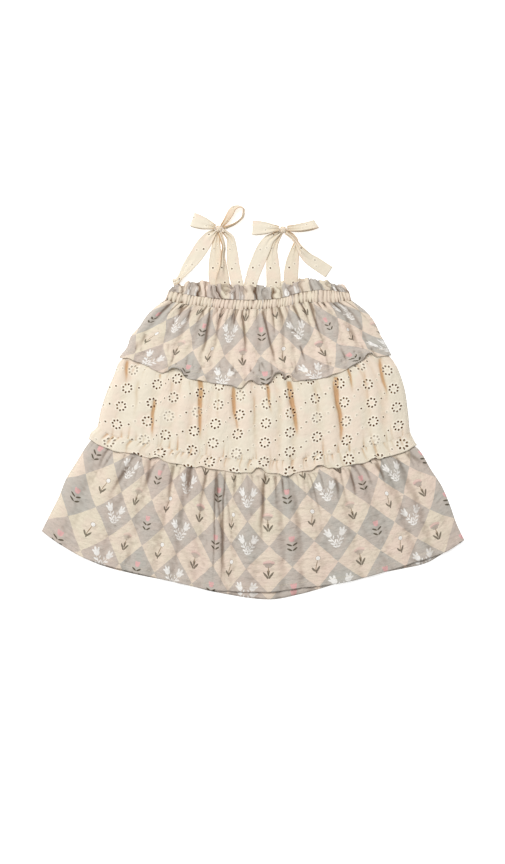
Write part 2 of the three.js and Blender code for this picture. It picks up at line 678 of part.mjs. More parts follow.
// The heading stands above the casing in deep waves; the back one peeks over the front one
function headingAt(peek, under, rise, phase) {
  return (s, t) => {
    const at = placeOn({ ...heading, top: shifted(HEADING_TOP, peek) }, s, t);
    const free = 1 - t;
    const wave = gathers(s + phase, HEADING_WAVES);
    const y = at.y + free * (wave - 0.5) * 2;
    return new THREE.Vector3(at.x, y, under + rise * (0.35 + 0.65 * free) * wave);
  };
}
const frontHeading = headingAt(0, HEADING_UNDER, HEADING_WAVE, 0);
const backHeading = headingAt(BACK_HEADING_PEEK, ON_TABLE, 0, 0.4);
add("heading_front", wallGeometry(frontHeading, 80, 2), PRINT);
add("heading_back", wallGeometry(backHeading, 80, 1), PRINT);

for (const [name, rows] of Object.entries(RIBBONS)) {
  const isLoop = name.startsWith("loop");
  add(name, ribbonGeometry(rows, isLoop ? LOOP_STEPS : STRAP_STEPS, isLoop), CREAM);
}
for (const [name, place] of Object.entries({ knot_left: LEFT_KNOT, knot_right: RIGHT_KNOT })) {
  add(name, knotGeometry(), CREAM).position.set(place.x, place.y, 0);
}

export default dress;
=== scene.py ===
"""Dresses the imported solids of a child's tiered sun dress, laid flat on its back.

Tables are in millimetres, in the frame of the solids: +X right, +Y to the bows, +Z up from the table.
A share s runs across a panel from its left side to its right, and t from its top edge to its hem.
"""
import math
from collections import namedtuple
from dataclasses import dataclass

import bmesh
import bpy
import numpy as np
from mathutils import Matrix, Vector


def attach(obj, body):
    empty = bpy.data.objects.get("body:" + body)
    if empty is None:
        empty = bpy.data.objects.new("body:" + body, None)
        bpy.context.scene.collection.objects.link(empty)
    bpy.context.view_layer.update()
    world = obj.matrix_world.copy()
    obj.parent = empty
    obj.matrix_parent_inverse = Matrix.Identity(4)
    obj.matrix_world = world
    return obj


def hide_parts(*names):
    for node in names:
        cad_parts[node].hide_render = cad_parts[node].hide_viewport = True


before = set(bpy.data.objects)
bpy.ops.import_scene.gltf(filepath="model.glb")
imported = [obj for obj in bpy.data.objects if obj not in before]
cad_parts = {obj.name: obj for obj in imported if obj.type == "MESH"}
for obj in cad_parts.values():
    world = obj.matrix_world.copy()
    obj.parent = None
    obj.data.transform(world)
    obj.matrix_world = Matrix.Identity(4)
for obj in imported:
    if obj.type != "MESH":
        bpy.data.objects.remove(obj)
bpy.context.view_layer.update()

bl_info = {
    "name": "Tiered Sun Dress",
    "version": (1, 0, 0),
    "blender": (4, 5, 0),
    "location": "View3D > Sidebar > Sun Dress",
    "description": "Builds a laid-out sun dress in printed muslin and eyelet cotton, with tied ribbons",
    "category": "Object",
}

MM = 0.001

# The most shade painted in a fold, where 1 is a deep fold of a panel
DEEPEST = 1.3

# A hollow, where shade is painted, is judged over this many cells of a panel's grid each way, and is full
# at this depth
HOLLOW_REACH = 5
HOLLOW_DEPTH = 0.8

# From its sides inwards, a panel's hollows get painted shade from the first distance and in full from the
# second
HOLLOW_INSET = (3, 9)

# Heights of the solids' layers
WALL = 1.4
SEAM_GAP = 0.3
LAYER = WALL + SEAM_GAP
OVER_ONE = LAYER
OVER_TWO = 2 * LAYER
OVER_THREE = 3 * LAYER + 0.1

# How far in from its sides a panel takes to rise, and the share of its length from which a back lies level
SIDE_RISE = 5.0
BACK_REST_TO = 0.5

# The front's folds: their width and depth against the solids', how far they wander sideways,
# how sharp they are, and the depths of a fold and of a pleat at which their painted shade is full
FOLD_NARROW = 0.8
FOLD_SINK = 1.12
CREASE_SINK = 0.9
FOLD_WANDER = 1.6
FOLD_SHARP = 1.4
FULL_FOLD = 3.2
FULL_PLEAT = 2.6

# The share of its length over which a top seam pinches a panel, the width in which its sides roll down,
# the ripples' pull across and the wobble of a free edge
PINCHED_TO = 0.09
SIDE_ROLL = 2.4
RIPPLE_PULL = 0.32
EDGE_WOBBLE = 0.7

# Waves of the crinkle: size across and along, strength, and which noise
CRIMPS = ((9, 3.6, 1, 0), (3.7, 5, 0.6, 1), (26, 13, 1.6, 3))

# A hem: how much thicker it is and how wide its step is. Half width and height of its rounded edge,
# of the dent along its stitching, and of the shade painted along its edge
HEM_EXTRA = 0.4
HEM_STEP = 0.8
HEM_ROUND = (1.3, 0.2)
HEM_DENT = (0.9, 0.2)
HEM_EDGE_SHADE = (0.7, 0.15)

# Least height of a wall's underside above the table, and the share of a side that stitches leave bare
CLEAR = 0.02
SIDE_MARGIN = 0.012

# From one stitch to the next, as a share of a stitch's length
STITCH_STEP = 1.35

Fold = namedtuple("Fold", "x0 y0 x1 y1 depth half")
Ripple = namedtuple("Ripple", "s wide back rise")
Gathers = namedtuple("Gathers", "count seed start way shortest longest depth half")
Bend = namedtuple("Bend", "x y z width turn", defaults=[0])

# Edges: height by share of the width
CASING_TOP = {0: 155.8, 0.06: 152.3, 0.17: 147.4, 0.31: 143.9, 0.45: 142.5, 0.59: 143.9,
              0.73: 153, 0.85: 156.6, 1: 153.4}
BODICE_TOP = {0: 143, 0.06: 139.5, 0.2: 134.5, 0.4: 130, 0.52: 130.5, 0.66: 135, 0.76: 140.5,
              0.9: 139.5, 1: 143}
BODICE_EDGE = {0: 62.7, 0.075: 55, 0.15: 41.7, 0.25: 33.3, 0.35: 26.3, 0.45: 23.5, 0.55: 25.6,
               0.65: 29.1, 0.75: 34, 0.83: 43.8, 0.9: 59.2, 1: 66.2}
MIDDLE_TOP = {0: 76, 0.1: 66.2, 0.25: 52.2, 0.45: 42.4, 0.55: 43.8, 0.75: 52.2, 0.9: 73.2, 1: 83}
MIDDLE_EDGE = {0: -51.5, 0.05: -64.1, 0.11: -70.4, 0.23: -83, 0.31: -90.7, 0.42: -96.3,
               0.53: -99.1, 0.6: -99.8, 0.68: -94.9, 0.8: -87.9, 0.92: -75.3, 0.97: -67.6, 1: -59.9}
SKIRT_TOP = {0: -36, 0.1: -52.9, 0.25: -66.9, 0.45: -79.5, 0.6: -80.9, 0.75: -73.9, 0.9: -57, 1: -43}
FRONT_HEM = {0: -180.3, 0.043: -198.5, 0.114: -220.9, 0.244: -241.9, 0.327: -253.1, 0.412: -263.4,
             0.528: -265.7, 0.611: -260.1, 0.706: -253.1, 0.789: -241.2, 0.884: -223.7,
             0.955: -209.7, 1: -192.9}
BACK_HEM = {0: -179.6, 0.078: -209.7, 0.14: -228, 0.244: -243.3, 0.327: -252.6, 0.412: -265.7,
            0.54: -275.8, 0.611: -268.5, 0.75: -244.7, 0.86: -232.1, 0.905: -226, 0.955: -209.7,
            1: -192.9}
HEADING_TOP = {0: 160, 0.1: 164.2, 0.25: 165.6, 0.4: 162.8, 0.5: 161.2, 0.6: 163.5, 0.7: 166.3,
               0.8: 171.9, 0.87: 168.4, 1: 159}

# Sides: place by share of the length
HEADING_LEFT = {0: -113.4, 1: -117.6}
HEADING_RIGHT = {0: 128, 1: 134.4}
CASING_LEFT = {0: -117.6, 1: -123.2}
CASING_RIGHT = {0: 134.4, 1: 137.2}
BODICE_LEFT = {0: -123.2, 0.15: -139.4, 0.3: -150.4, 0.45: -158.2, 0.65: -171.6, 0.8: -175.4, 1: -186.9}
BODICE_RIGHT = {0: 137.2, 0.15: 153, 0.3: 164.6, 0.45: 171.8, 0.65: 178.9, 0.8: 185.5, 1: 193.2}
MIDDLE_LEFT = {0: -171.2, 0.06: -175.4, 0.12: -182.4, 0.17: -188.3, 0.3: -194.6, 0.48: -204.6,
               0.7: -213.5, 0.86: -217.6, 0.94: -227.4, 1: -229.6}
MIDDLE_RIGHT = {0: 178.4, 0.06: 182.6, 0.12: 189, 0.17: 195.4, 0.3: 205.2, 0.48: 212.8, 0.7: 217,
                0.86: 219.2, 0.94: 224, 1: 228.9}
SKIRT_LEFT = {0: -213.4, 0.06: -221.4, 0.11: -225.1, 0.15: -230.2, 0.34: -247.8, 0.5: -261.8,
              0.68: -272.2, 0.84: -284, 1: -295.4}
SKIRT_RIGHT = {0: 214.8, 0.06: 218.6, 0.11: 223.6, 0.15: 231.2, 0.34: 248.7, 0.5: 264.2,
               0.68: 275.8, 0.84: 284.2, 1: 295.4}

# The deepest creases, as in the solids: from x, y to x, y, then depth and half width
BODICE_FOLDS = [Fold(*row) for row in (
    (-117, 138, -138, 112, 2.2, 5), (-59, 132, -70, 66, 3.4, 4), (-14, 130, -10, 68, 3.4, 4),
    (14, 128, 32, 50, 3, 4), (54, 136, 68, 112, 2.6, 4), (78, 142, 100, 80, 3.2, 4.5),
    (66, 80, 75, 52, 1.8, 4),
)]
MIDDLE_FOLDS = [Fold(*row) for row in (
    (-176, 60, -178, 24, 2.6, 5), (-138, 4, -141, -54, 3.4, 3.5), (-73, 34, -74, -58, 5.4, 4.5),
    (-29, 22, -26, -26, 3, 5), (19, 28, 26, -20, 3.2, 4), (50, 30, 63, -50, 5, 4.5),
    (114, 36, 125, -62, 5, 4.5), (133, 48, 140, 10, 2.4, 4), (176, 62, 190, -6, 2.8, 4.5),
)]
SKIRT_FOLDS = [Fold(*row) for row in (
    (-172, -84, -208, -138, 2.4, 7), (-143, -80, -149, -122, 2.8, 5), (-88, -90, -92, -140, 3.2, 5),
    (-51, -94, -38, -262, 3, 6), (16, -100, 10, -196, 3.6, 6), (114, -106, 122, -140, 2, 5),
    (134, -92, 145, -140, 3.2, 5), (172, -84, 184, -112, 2.2, 5), (217, -70, 252, -94, 2.4, 6),
)]

# Smaller creases that only the looks have
BODICE_CREASES = [Fold(*row) for row in (
    (-98, 136, -105, 112, 1.6, 2.6), (-86, 134, -94, 108, 1.8, 2.4), (-70, 130, -69, 116, 1.4, 2.2),
    (-48, 130, -50, 108, 1.6, 2.2), (-26, 130, -30, 104, 1.8, 2.4), (37, 130, 50, 96, 2, 2.6),
    (52, 104, 82, 82, 1.4, 3), (97, 142, 104, 130, 1.8, 2.4), (-119, 82, -121, 68, 1.2, 3),
    (12, 56, 19, 42, 1.4, 3), (-150, 96, -162, 72, 1.2, 5), (128, 112, 146, 84, 1.2, 5),
)]
MIDDLE_CREASES = [Fold(*row) for row in (
    (-130, 40, -131, 30, 1.4, 2.4), (-88, 30, -88, 14, 1.2, 2.4), (-30, 10, -18, -52, 2, 3.4),
    (-160, 30, -166, -30, 1, 5), (-112, 34, -116, -10, 0.9, 5), (-50, 20, -48, -50, 0.9, 4),
    (88, 30, 92, -40, 0.9, 5), (156, 50, 164, -20, 0.9, 4), (0, 10, 4, -60, 1, 4),
)]
SKIRT_CREASES = [Fold(*row) for row in (
    (-52, -96, -56, -266, 2.6, 2.2), (-39, -96, -45, -266, 3.4, 2.6), (-36, -120, -30, -200, 1.6, 3),
    (-86, -88, -88, -150, 1.6, 2.4), (-14, -98, -20, -170, 1, 4), (40, -98, 46, -150, 1.2, 3.4),
    (76, -100, 84, -150, 1.2, 3.4), (200, -76, 216, -106, 1.4, 3), (-196, -70, -214, -100, 1.4, 3),
    (-112, -88, -120, -150, 1.2, 3.4), (-100, -200, -80, -246, 0.9, 6), (60, -190, 56, -250, 0.9, 7),
    (150, -160, 170, -228, 0.9, 7), (-24, -206, 18, -203, 0.8, 1.6), (-16, -226, 44, -229, 0.9, 1.5),
    (-2, -237, 62, -233, 0.8, 1.5), (-10, -248, 30, -246, 0.7, 1.5), (12, -168, 56, -171, 0.7, 1.6),
    (52, -150, 98, -147, 0.6, 1.6), (24, -192, 78, -196, 0.6, 1.6), (-150, -188, -112, -194, 0.6, 1.8),
    (96, -206, 140, -199, 0.6, 1.8),
)]

# Ripples of the free edges, as in the solids: share of the width, width, pull back up and rise
BODICE_RIPPLES = [Ripple(*row) for row in (
    (0.035, 0.014, 2, 1.4), (0.205, 0.026, 12, 6), (0.3, 0.012, 1, 1.6), (0.395, 0.02, 0, 1.8),
    (0.44, 0.02, -4, 1.6), (0.483, 0.016, 7, 4), (0.583, 0.017, 17, 6.4), (0.621, 0.011, 9, 4),
    (0.69, 0.022, 0, 1.8), (0.79, 0.016, 1, 1.4), (0.855, 0.014, 2, 2), (0.921, 0.016, 8, 5),
)]
MIDDLE_RIPPLES = [Ripple(*row) for row in (
    (0.085, 0.02, -1, 1.6), (0.14, 0.012, 1, 1.8), (0.207, 0.014, 4, 3.4), (0.27, 0.014, 1, 1.4),
    (0.345, 0.012, 3, 2.6), (0.39, 0.012, 1, 2), (0.455, 0.018, -1, 1.6), (0.52, 0.014, 8, 3.6),
    (0.6, 0.02, -3, 2), (0.706, 0.016, 6, 3.8), (0.76, 0.012, -2, 1.4), (0.8, 0.012, 1, 1.8),
    (0.868, 0.012, 3, 2.8), (0.935, 0.016, 0, 1.6),
)]

# Short uneven pleats along a gathered seam: they start at a share of the length and run one way from it
BODICE_GATHERED = [Gathers(*row) for row in (
    (52, 11, 0.0, 1, 8, 52, 2.8, 1.8), (28, 12, 0.82, -1, 5, 20, 1.4, 2.0),
    (34, 13, 0.83, 1, 5, 14, 1.2, 2.0),
)]
MIDDLE_GATHERED = [Gathers(*row) for row in (
    (40, 21, 0.08, 1, 20, 60, 1.3, 2.2), (54, 22, 0.87, -1, 6, 34, 2.2, 1.9),
    (64, 23, 0.87, 1, 8, 24, 2.8, 1.8),
)]
SKIRT_GATHERED = [Gathers(50, 31, 0.12, 1, 16, 70, 1.9, 2.2)]

# Where the print's columns lie across a front, by share of the width; the rest is hidden in folds
BODICE_COLUMNS = {-0.12: -1, 0.01: 0, 0.125: 1, 0.248: 2, 0.375: 3, 0.521: 4, 0.685: 5, 0.828: 6,
                  0.945: 7, 1.08: 8}
SKIRT_COLUMNS = {0: -0.33, 0.035: 0, 0.138: 1, 0.222: 2, 0.308: 3, 0.4: 4, 0.483: 5, 0.597: 6,
                 0.71: 7, 0.815: 8, 0.906: 9, 1: 10}

# How much the bodice's columns fan out from a place of the front: upper left, upper right and below it
BODICE_FAN = (0.22, 0.14, 0.31)
BODICE_FAN_FROM = (0.37, 0.63)

# How far above each edge the print's rows start, by share of the width
BODICE_PRINT_RISE = {0: 12, 0.3: 10, 0.6: 9, 1: 15}
MIDDLE_PRINT_RISE = {0: 9.5, 0.4: 10.5, 0.5: 15, 0.68: 18, 0.8: 22, 0.88: 27, 1: 22}
SKIRT_PRINT_RISE = {0: 8, 0.3: 6, 0.45: 0, 0.6: -2, 0.8: -2, 1: 1}

# Where the columns of rosettes lie across the middle tier, by share of its laid width
MIDDLE_WIDTH = 428
EYELET_COLUMNS = [0.057, 0.149, 0.214, 0.302, 0.368, 0.444, 0.534, 0.616, 0.704, 0.799, 0.887, 0.966]

# Heights along each tier, by share of its length
BODICE_REST = {0: OVER_ONE, 0.6: OVER_ONE, 0.82: OVER_THREE, 1: OVER_THREE}
BODICE_LOFT = {0: 2.4, 0.25: 2.6, 0.6: 3, 0.82: 1.9, 1: 1.7}
BODICE_WAVE = {0: 3.2, 0.25: 2.2, 0.6: 1.4, 0.82: 0.8, 1: 0.4}
MIDDLE_REST = {0: OVER_TWO, 0.223: OVER_TWO, 0.334: OVER_ONE, 0.65: OVER_ONE, 0.87: OVER_THREE,
               1: OVER_THREE}
MIDDLE_LOFT = {0: 1, 0.223: 2, 0.334: 3.8, 0.65: 4.2, 0.87: 2.0, 1: 1.6}
MIDDLE_WAVE = {0: 0, 0.223: 1.9, 0.334: 2.3, 0.65: 2.1, 0.87: 0.8, 1: 0.4}
SKIRT_REST = {0: OVER_TWO, 0.223: OVER_TWO, 0.334: OVER_ONE, 1: OVER_ONE}
SKIRT_LOFT = {0: 1, 0.223: 1.6, 0.334: 3, 0.7: 2.2, 1: 1}
SKIRT_WAVE = {0: 0, 0.223: 2.2, 0.334: 2.4, 0.7: 1.8, 1: 1.4}

# The eyelets of the back lie between those of the front
BACK_SHIFT = (19.0, 7.0)

# How far above its edge each line of stitches or shirring runs
FLOUNCE_HEM = 12.0
RUFFLE_HEM = 4.0
SKIRT_HEM = 8.0
SHIRRING = (19.0, 22.0)

# Where the print lies on the neckline: its row of diamonds, and how much of its height shows
CASING_PRINT = (1.5, 5.0)
HEADING_PRINT = (2.2, 6.0)

# The neckline's ribs and pleats, and how far it laps under its seams
RIBS = 52
PLEATS = 19
SEAM_OVERLAP = 0.9
CASING_PUFF = 4.4
FRILL_PUFF = 6.4
FRILL_SWAY = 2.6
FRILL_UNEVEN = 2.8

# The back of the neckline: its middle surface's height, its puff as a share of the front's,
# and how far its frill shows above the front's
BACK_REST = 0.45
BACK_CASING_PUFF = 0.16
BACK_FRILL_PUFF = 0.25
FRILL_MIDDLE = 5.4
FRILL_SHOWS = 2.8

# Ribbons, as in the solids: rows of x, y, z, width and turn
RIBBONS = {
    "strap_left_back": [
        (-50.8, 157.6, 2.3, 19), (-51.2, 166, 2.3, 20), (-52.5, 180, 2, 20), (-52.5, 194, 0.8, 19),
        (-52.2, 208, 0.8, 16), (-51.5, 222, 0.8, 11), (-49.4, 239, 0.8, 6),
    ],
    "strap_left_front": [
        (-43, 157.6, 3.9, 19), (-42.8, 167, 3.9, 19), (-42.2, 179, 5.2, 16, 20),
        (-41.6, 192, 5.8, 11, 42), (-42, 204, 5.6, 8.5, 58), (-40.8, 216, 5.4, 7.5, 66),
        (-43, 227, 5, 6.4, 50), (-46, 237.2, 4.2, 5, 6),
    ],
    "tail_left_inner": [
        (-20.6, 157.6, 3.9, 17), (-22.4, 167, 3.9, 17), (-25, 180, 2, 17), (-28, 196, 1.2, 17),
        (-29.4, 212, 1.4, 15, -4), (-31, 227, 3, 11.4, -12), (-42, 240.2, 4.6, 4.6, -4),
    ],
    "tail_left_outer": [
        (-52.4, 239.4, 4, 5.6), (-62, 230.4, 3, 16), (-71.4, 217.4, 1.8, 20), (-80.4, 204, 1.4, 19, 2),
        (-89.6, 191.6, 2.6, 16, 12), (-97, 181, 4.8, 13, 32), (-102, 174.4, 5.2, 10, 42),
        (-106, 169.6, 4.2, 9, 30), (-111.6, 167.4, 2.4, 9, 8),
    ],
    "strap_right_back": [
        (28.7, 157.6, 2.3, 20), (28.7, 166, 2.3, 20), (28.4, 180, 2, 20), (27.4, 194, 0.8, 18),
        (27.4, 208, 0.8, 14), (30.6, 221, 0.8, 9), (39.6, 238, 0.8, 5),
    ],
    "strap_right_front": [
        (52.5, 157.6, 2.3, 20), (52.6, 166, 2.3, 20), (53.2, 180, 2, 20), (55.2, 196, 0.8, 18),
        (58.2, 212, 0.8, 12), (60.2, 225, 0.8, 6), (54.4, 234, 0.8, 5), (45.4, 239, 0.8, 4),
    ],
    "tail_right_inner": [
        (-5, 157.6, 2.3, 18), (-3.4, 166, 2.3, 18), (0.6, 180, 2, 19), (7, 196.4, 2.4, 20),
        (14, 213, 2.8, 19.6), (21.6, 226, 2.8, 15), (37.7, 237.7, 3.9, 5),
    ],
    "tail_right_outer": [
        (45.8, 237, 5, 4.6, 20), (55, 230.6, 5.4, 6, 46), (61.8, 222, 5.4, 7.6, 46),
        (67.6, 211.8, 4.8, 11, 24), (77, 201.6, 2.2, 15, 6), (89.4, 193.4, 1.2, 17.4),
        (106.6, 182, 0.8, 17.6),
    ],
    "loop_left_outer": [
        (-53.1, 244.4, 5.8, 6), (-60, 246.8, 4.8, 11), (-70, 250.2, 2.6, 17), (-80, 253.6, 2.2, 19.6),
        (-84.6, 255.2, 5.4, 19.8), (-80.4, 253.8, 8.6, 19.6), (-70, 250.4, 9.6, 17),
        (-60, 246.9, 9.2, 11), (-52.8, 244.5, 8.4, 6),
    ],
    "loop_left_inner": [
        (-43.5, 245.8, 6.6, 5, -20), (-38, 252.8, 7.2, 9, -34), (-32, 263, 8, 12, -40),
        (-27, 270.6, 8.6, 13.4, -56), (-19.6, 273.2, 9, 13.6, -76), (-12.6, 269.4, 9, 13.6, -84),
        (-13.6, 260.4, 8.4, 12.4, -80), (-21, 252, 7, 10, -76), (-31, 246.2, 6, 7.6, -64),
        (-41.6, 242.9, 5, 5, -50),
    ],
    "loop_right_inner": [
        (36.2, 242.2, 6, 7), (29, 242.6, 5.4, 10), (18, 243, 3.4, 16), (5, 243.6, 2.2, 19.8),
        (-0.6, 243.8, 5.4, 20.2), (5, 243.6, 8.6, 19.8), (18, 243.1, 9.6, 16), (29, 242.7, 9.4, 10),
        (36.2, 242.3, 8.6, 7),
    ],
    "loop_right_outer": [
        (47.8, 242.4, 6, 7), (56, 242.8, 4.4, 9, 4), (68, 243.8, 2.8, 11.4, 8),
        (80, 246.2, 2.8, 12.6, 10), (88.4, 249, 6.4, 13, 14), (82.4, 247.6, 10, 12.6, 20),
        (70, 244.8, 10.6, 11.4, 16), (57, 243, 10, 9, 8), (47.8, 242.5, 8.8, 7),
    ],
}
# Least height of a ribbon's middle surface above the table
RIBBON_REST = 0.6

# How much shade is painted over the ribbons that turn away from the light or show their shaded inner side
RIBBON_SHADE = {
    "strap_left_back": 0.12,
    "strap_left_front": 0.25,
    "tail_left_inner": 0.04,
    "strap_right_back": 0.12,
    "strap_right_front": 0.22,
    "tail_right_outer": 0.06,
    "loop_left_inner": 0.4,
    "loop_right_outer": 0.06,
}
# Half width and strength of the shade painted along a ribbon's edges
RIBBON_EDGE_SHADE = (0.8, 0.34)

# A ribbon's lengthwise pleats where it is narrowed, how they drift over its length, and its ripple
RIBBON_PLEATS = 2
RIBBON_DRIFT = 2.4
RIBBON_RIPPLE = 0.22

# A ribbon's grid: cells across, and the length of one. Eyelets lie this far from its middle line,
# and keep away from its ends
RIBBON_CELLS = 18
RIBBON_CELL = 1.2
RIBBON_EYELETS = 7
RIBBON_BARE = (6, 8)

# The knots: places and sizes, and the grooves round them
KNOTS = {"knot_left": (-47.6, 242.6), "knot_right": (42.0, 241.2)}
KNOT_SIZE = (11, 10, 9)
KNOT_GROOVES = 5
KNOT_GROOVE = 0.13

# The eyelet cloth: rosettes of small holes in columns, with pairs of single holes between them
EYELET_PITCH = (38.0, 27.0)
ROSETTE_RADIUS = 5.95
ROSETTE_HOLES = 8
HOLE_RADIUS = 1.4
PAIR_OFFSET = (3.6, 3.2)
RIM_TUBE = 0.25
SINGLE_SMALLER = 0.35
HOLE_SOFT = 0.3

# How far past a hole its stitching reaches, and past a ring of holes its petals: where they end,
# and where they start to fade. The petals' inner end, as radii
STITCHED_PAST = (2.2, 0.8)
PETALS_PAST = (3.4, 1.6)
PETALS_FROM = (1.6, 3.2)

# The flat stretch of cloth each way from a rosette's middle
ROSETTE_FLAT = 8.0

# The stretch of cloth that the middle tier's eyelets are looked for in
EYELETS_ACROSS = (-20, 460)
EYELETS_ALONG = (-14, 138)


def curve(table, at):
    """Values on the smooth curve through a table's rows, which never overshoots them."""
    place = np.array(list(table))
    value = np.array(list(table.values()), float)
    grade = np.diff(value) / np.diff(place)
    before, after = grade[:-1], grade[1:]
    same_way = before * after > 0
    joint = np.where(same_way, before + after, 1)
    slope = np.concatenate([grade[:1], np.where(same_way, 2 * before * after / joint, 0), grade[-1:]])
    i = np.clip(np.searchsorted(place, at, side="right") - 1, 0, len(place) - 2)
    run = place[i + 1] - place[i]
    u = np.clip((at - place[i]) / run, 0, 1)
    return (
        value[i] * (2 * u**3 - 3 * u**2 + 1)
        + slope[i] * run * (u**3 - 2 * u**2 + u)
        + value[i + 1] * (3 * u**2 - 2 * u**3)
        + slope[i + 1] * run * (u**3 - u**2)
    )


def smooth(value, low, high):
    """0 at low and 1 at high, smooth between them. low may be the larger."""
    share = np.clip((value - low) / (high - low), 0, 1)
    return share * share * (3 - 2 * share)


def bell(value, half=1.0, high=1.0):
    """A bell curve of a height, which has fallen to about a third at half."""
    return high * np.exp(-((value / half) ** 2))


def unit(vectors):
    """Vectors of length 1 in the same directions."""
    return vectors / np.maximum(np.linalg.norm(vectors, axis=-1, keepdims=True), 1e-9)


def noise(x, y, seed):
    """Smooth noise from -1 to 1, the same on every run."""
    size = 64
    table = np.random.default_rng(seed).uniform(-1, 1, (size, size))
    left = np.floor(x).astype(int)
    low = np.floor(y).astype(int)
    u = x - left
    v = y - low
    u = u * u * (3 - 2 * u)
    v = v * v * (3 - 2 * v)

    def corner(i, j):
        return table[(left + i) % size, (low + j) % size]

    near = corner(0, 0) * (1 - u) + corner(1, 0) * u
    far = corner(0, 1) * (1 - u) + corner(1, 1) * u
    return near * (1 - v) + far * v


def even_gathers(s, count):
    """Crests from 0 to 1, unevenly spaced, as in the solids."""
    uneven = s + 0.011 * np.sin(19.7 * s + 1) + 0.006 * np.sin(41.3 * s)
    return 0.5 - 0.5 * np.cos(2 * np.pi * count * uneven)


def creased(folds, x, y, narrow=1.0, line_share=0.5):
    """How deep each place lies in a list of creases, and how near it is to the bottom line of one, where
    shade is painted.
    """
    depth = np.zeros_like(x)
    line = np.zeros_like(x)
    wander = FOLD_WANDER * noise(x / 40, y / 17, 5)
    for fold in folds:
        run_x = fold.x1 - fold.x0
        run_y = fold.y1 - fold.y0
        length = math.hypot(run_x, run_y)
        share = ((x - fold.x0) * run_x + (y - fold.y0) * run_y) / length**2
        off = ((x - fold.x0) * run_y - (y - fold.y0) * run_x) / length + wander
        inside = (share > 0) & (share < 1)
        taper = np.sin(np.pi * np.sqrt(np.clip(share, 0, 1)))
        reach = np.abs(off / (fold.half * narrow))
        depth += np.where(inside, fold.depth * taper * np.exp(-(reach**FOLD_SHARP)), 0)
        line += np.where(inside, fold.depth / FULL_FOLD * taper * bell(reach, line_share), 0)
    return depth, line


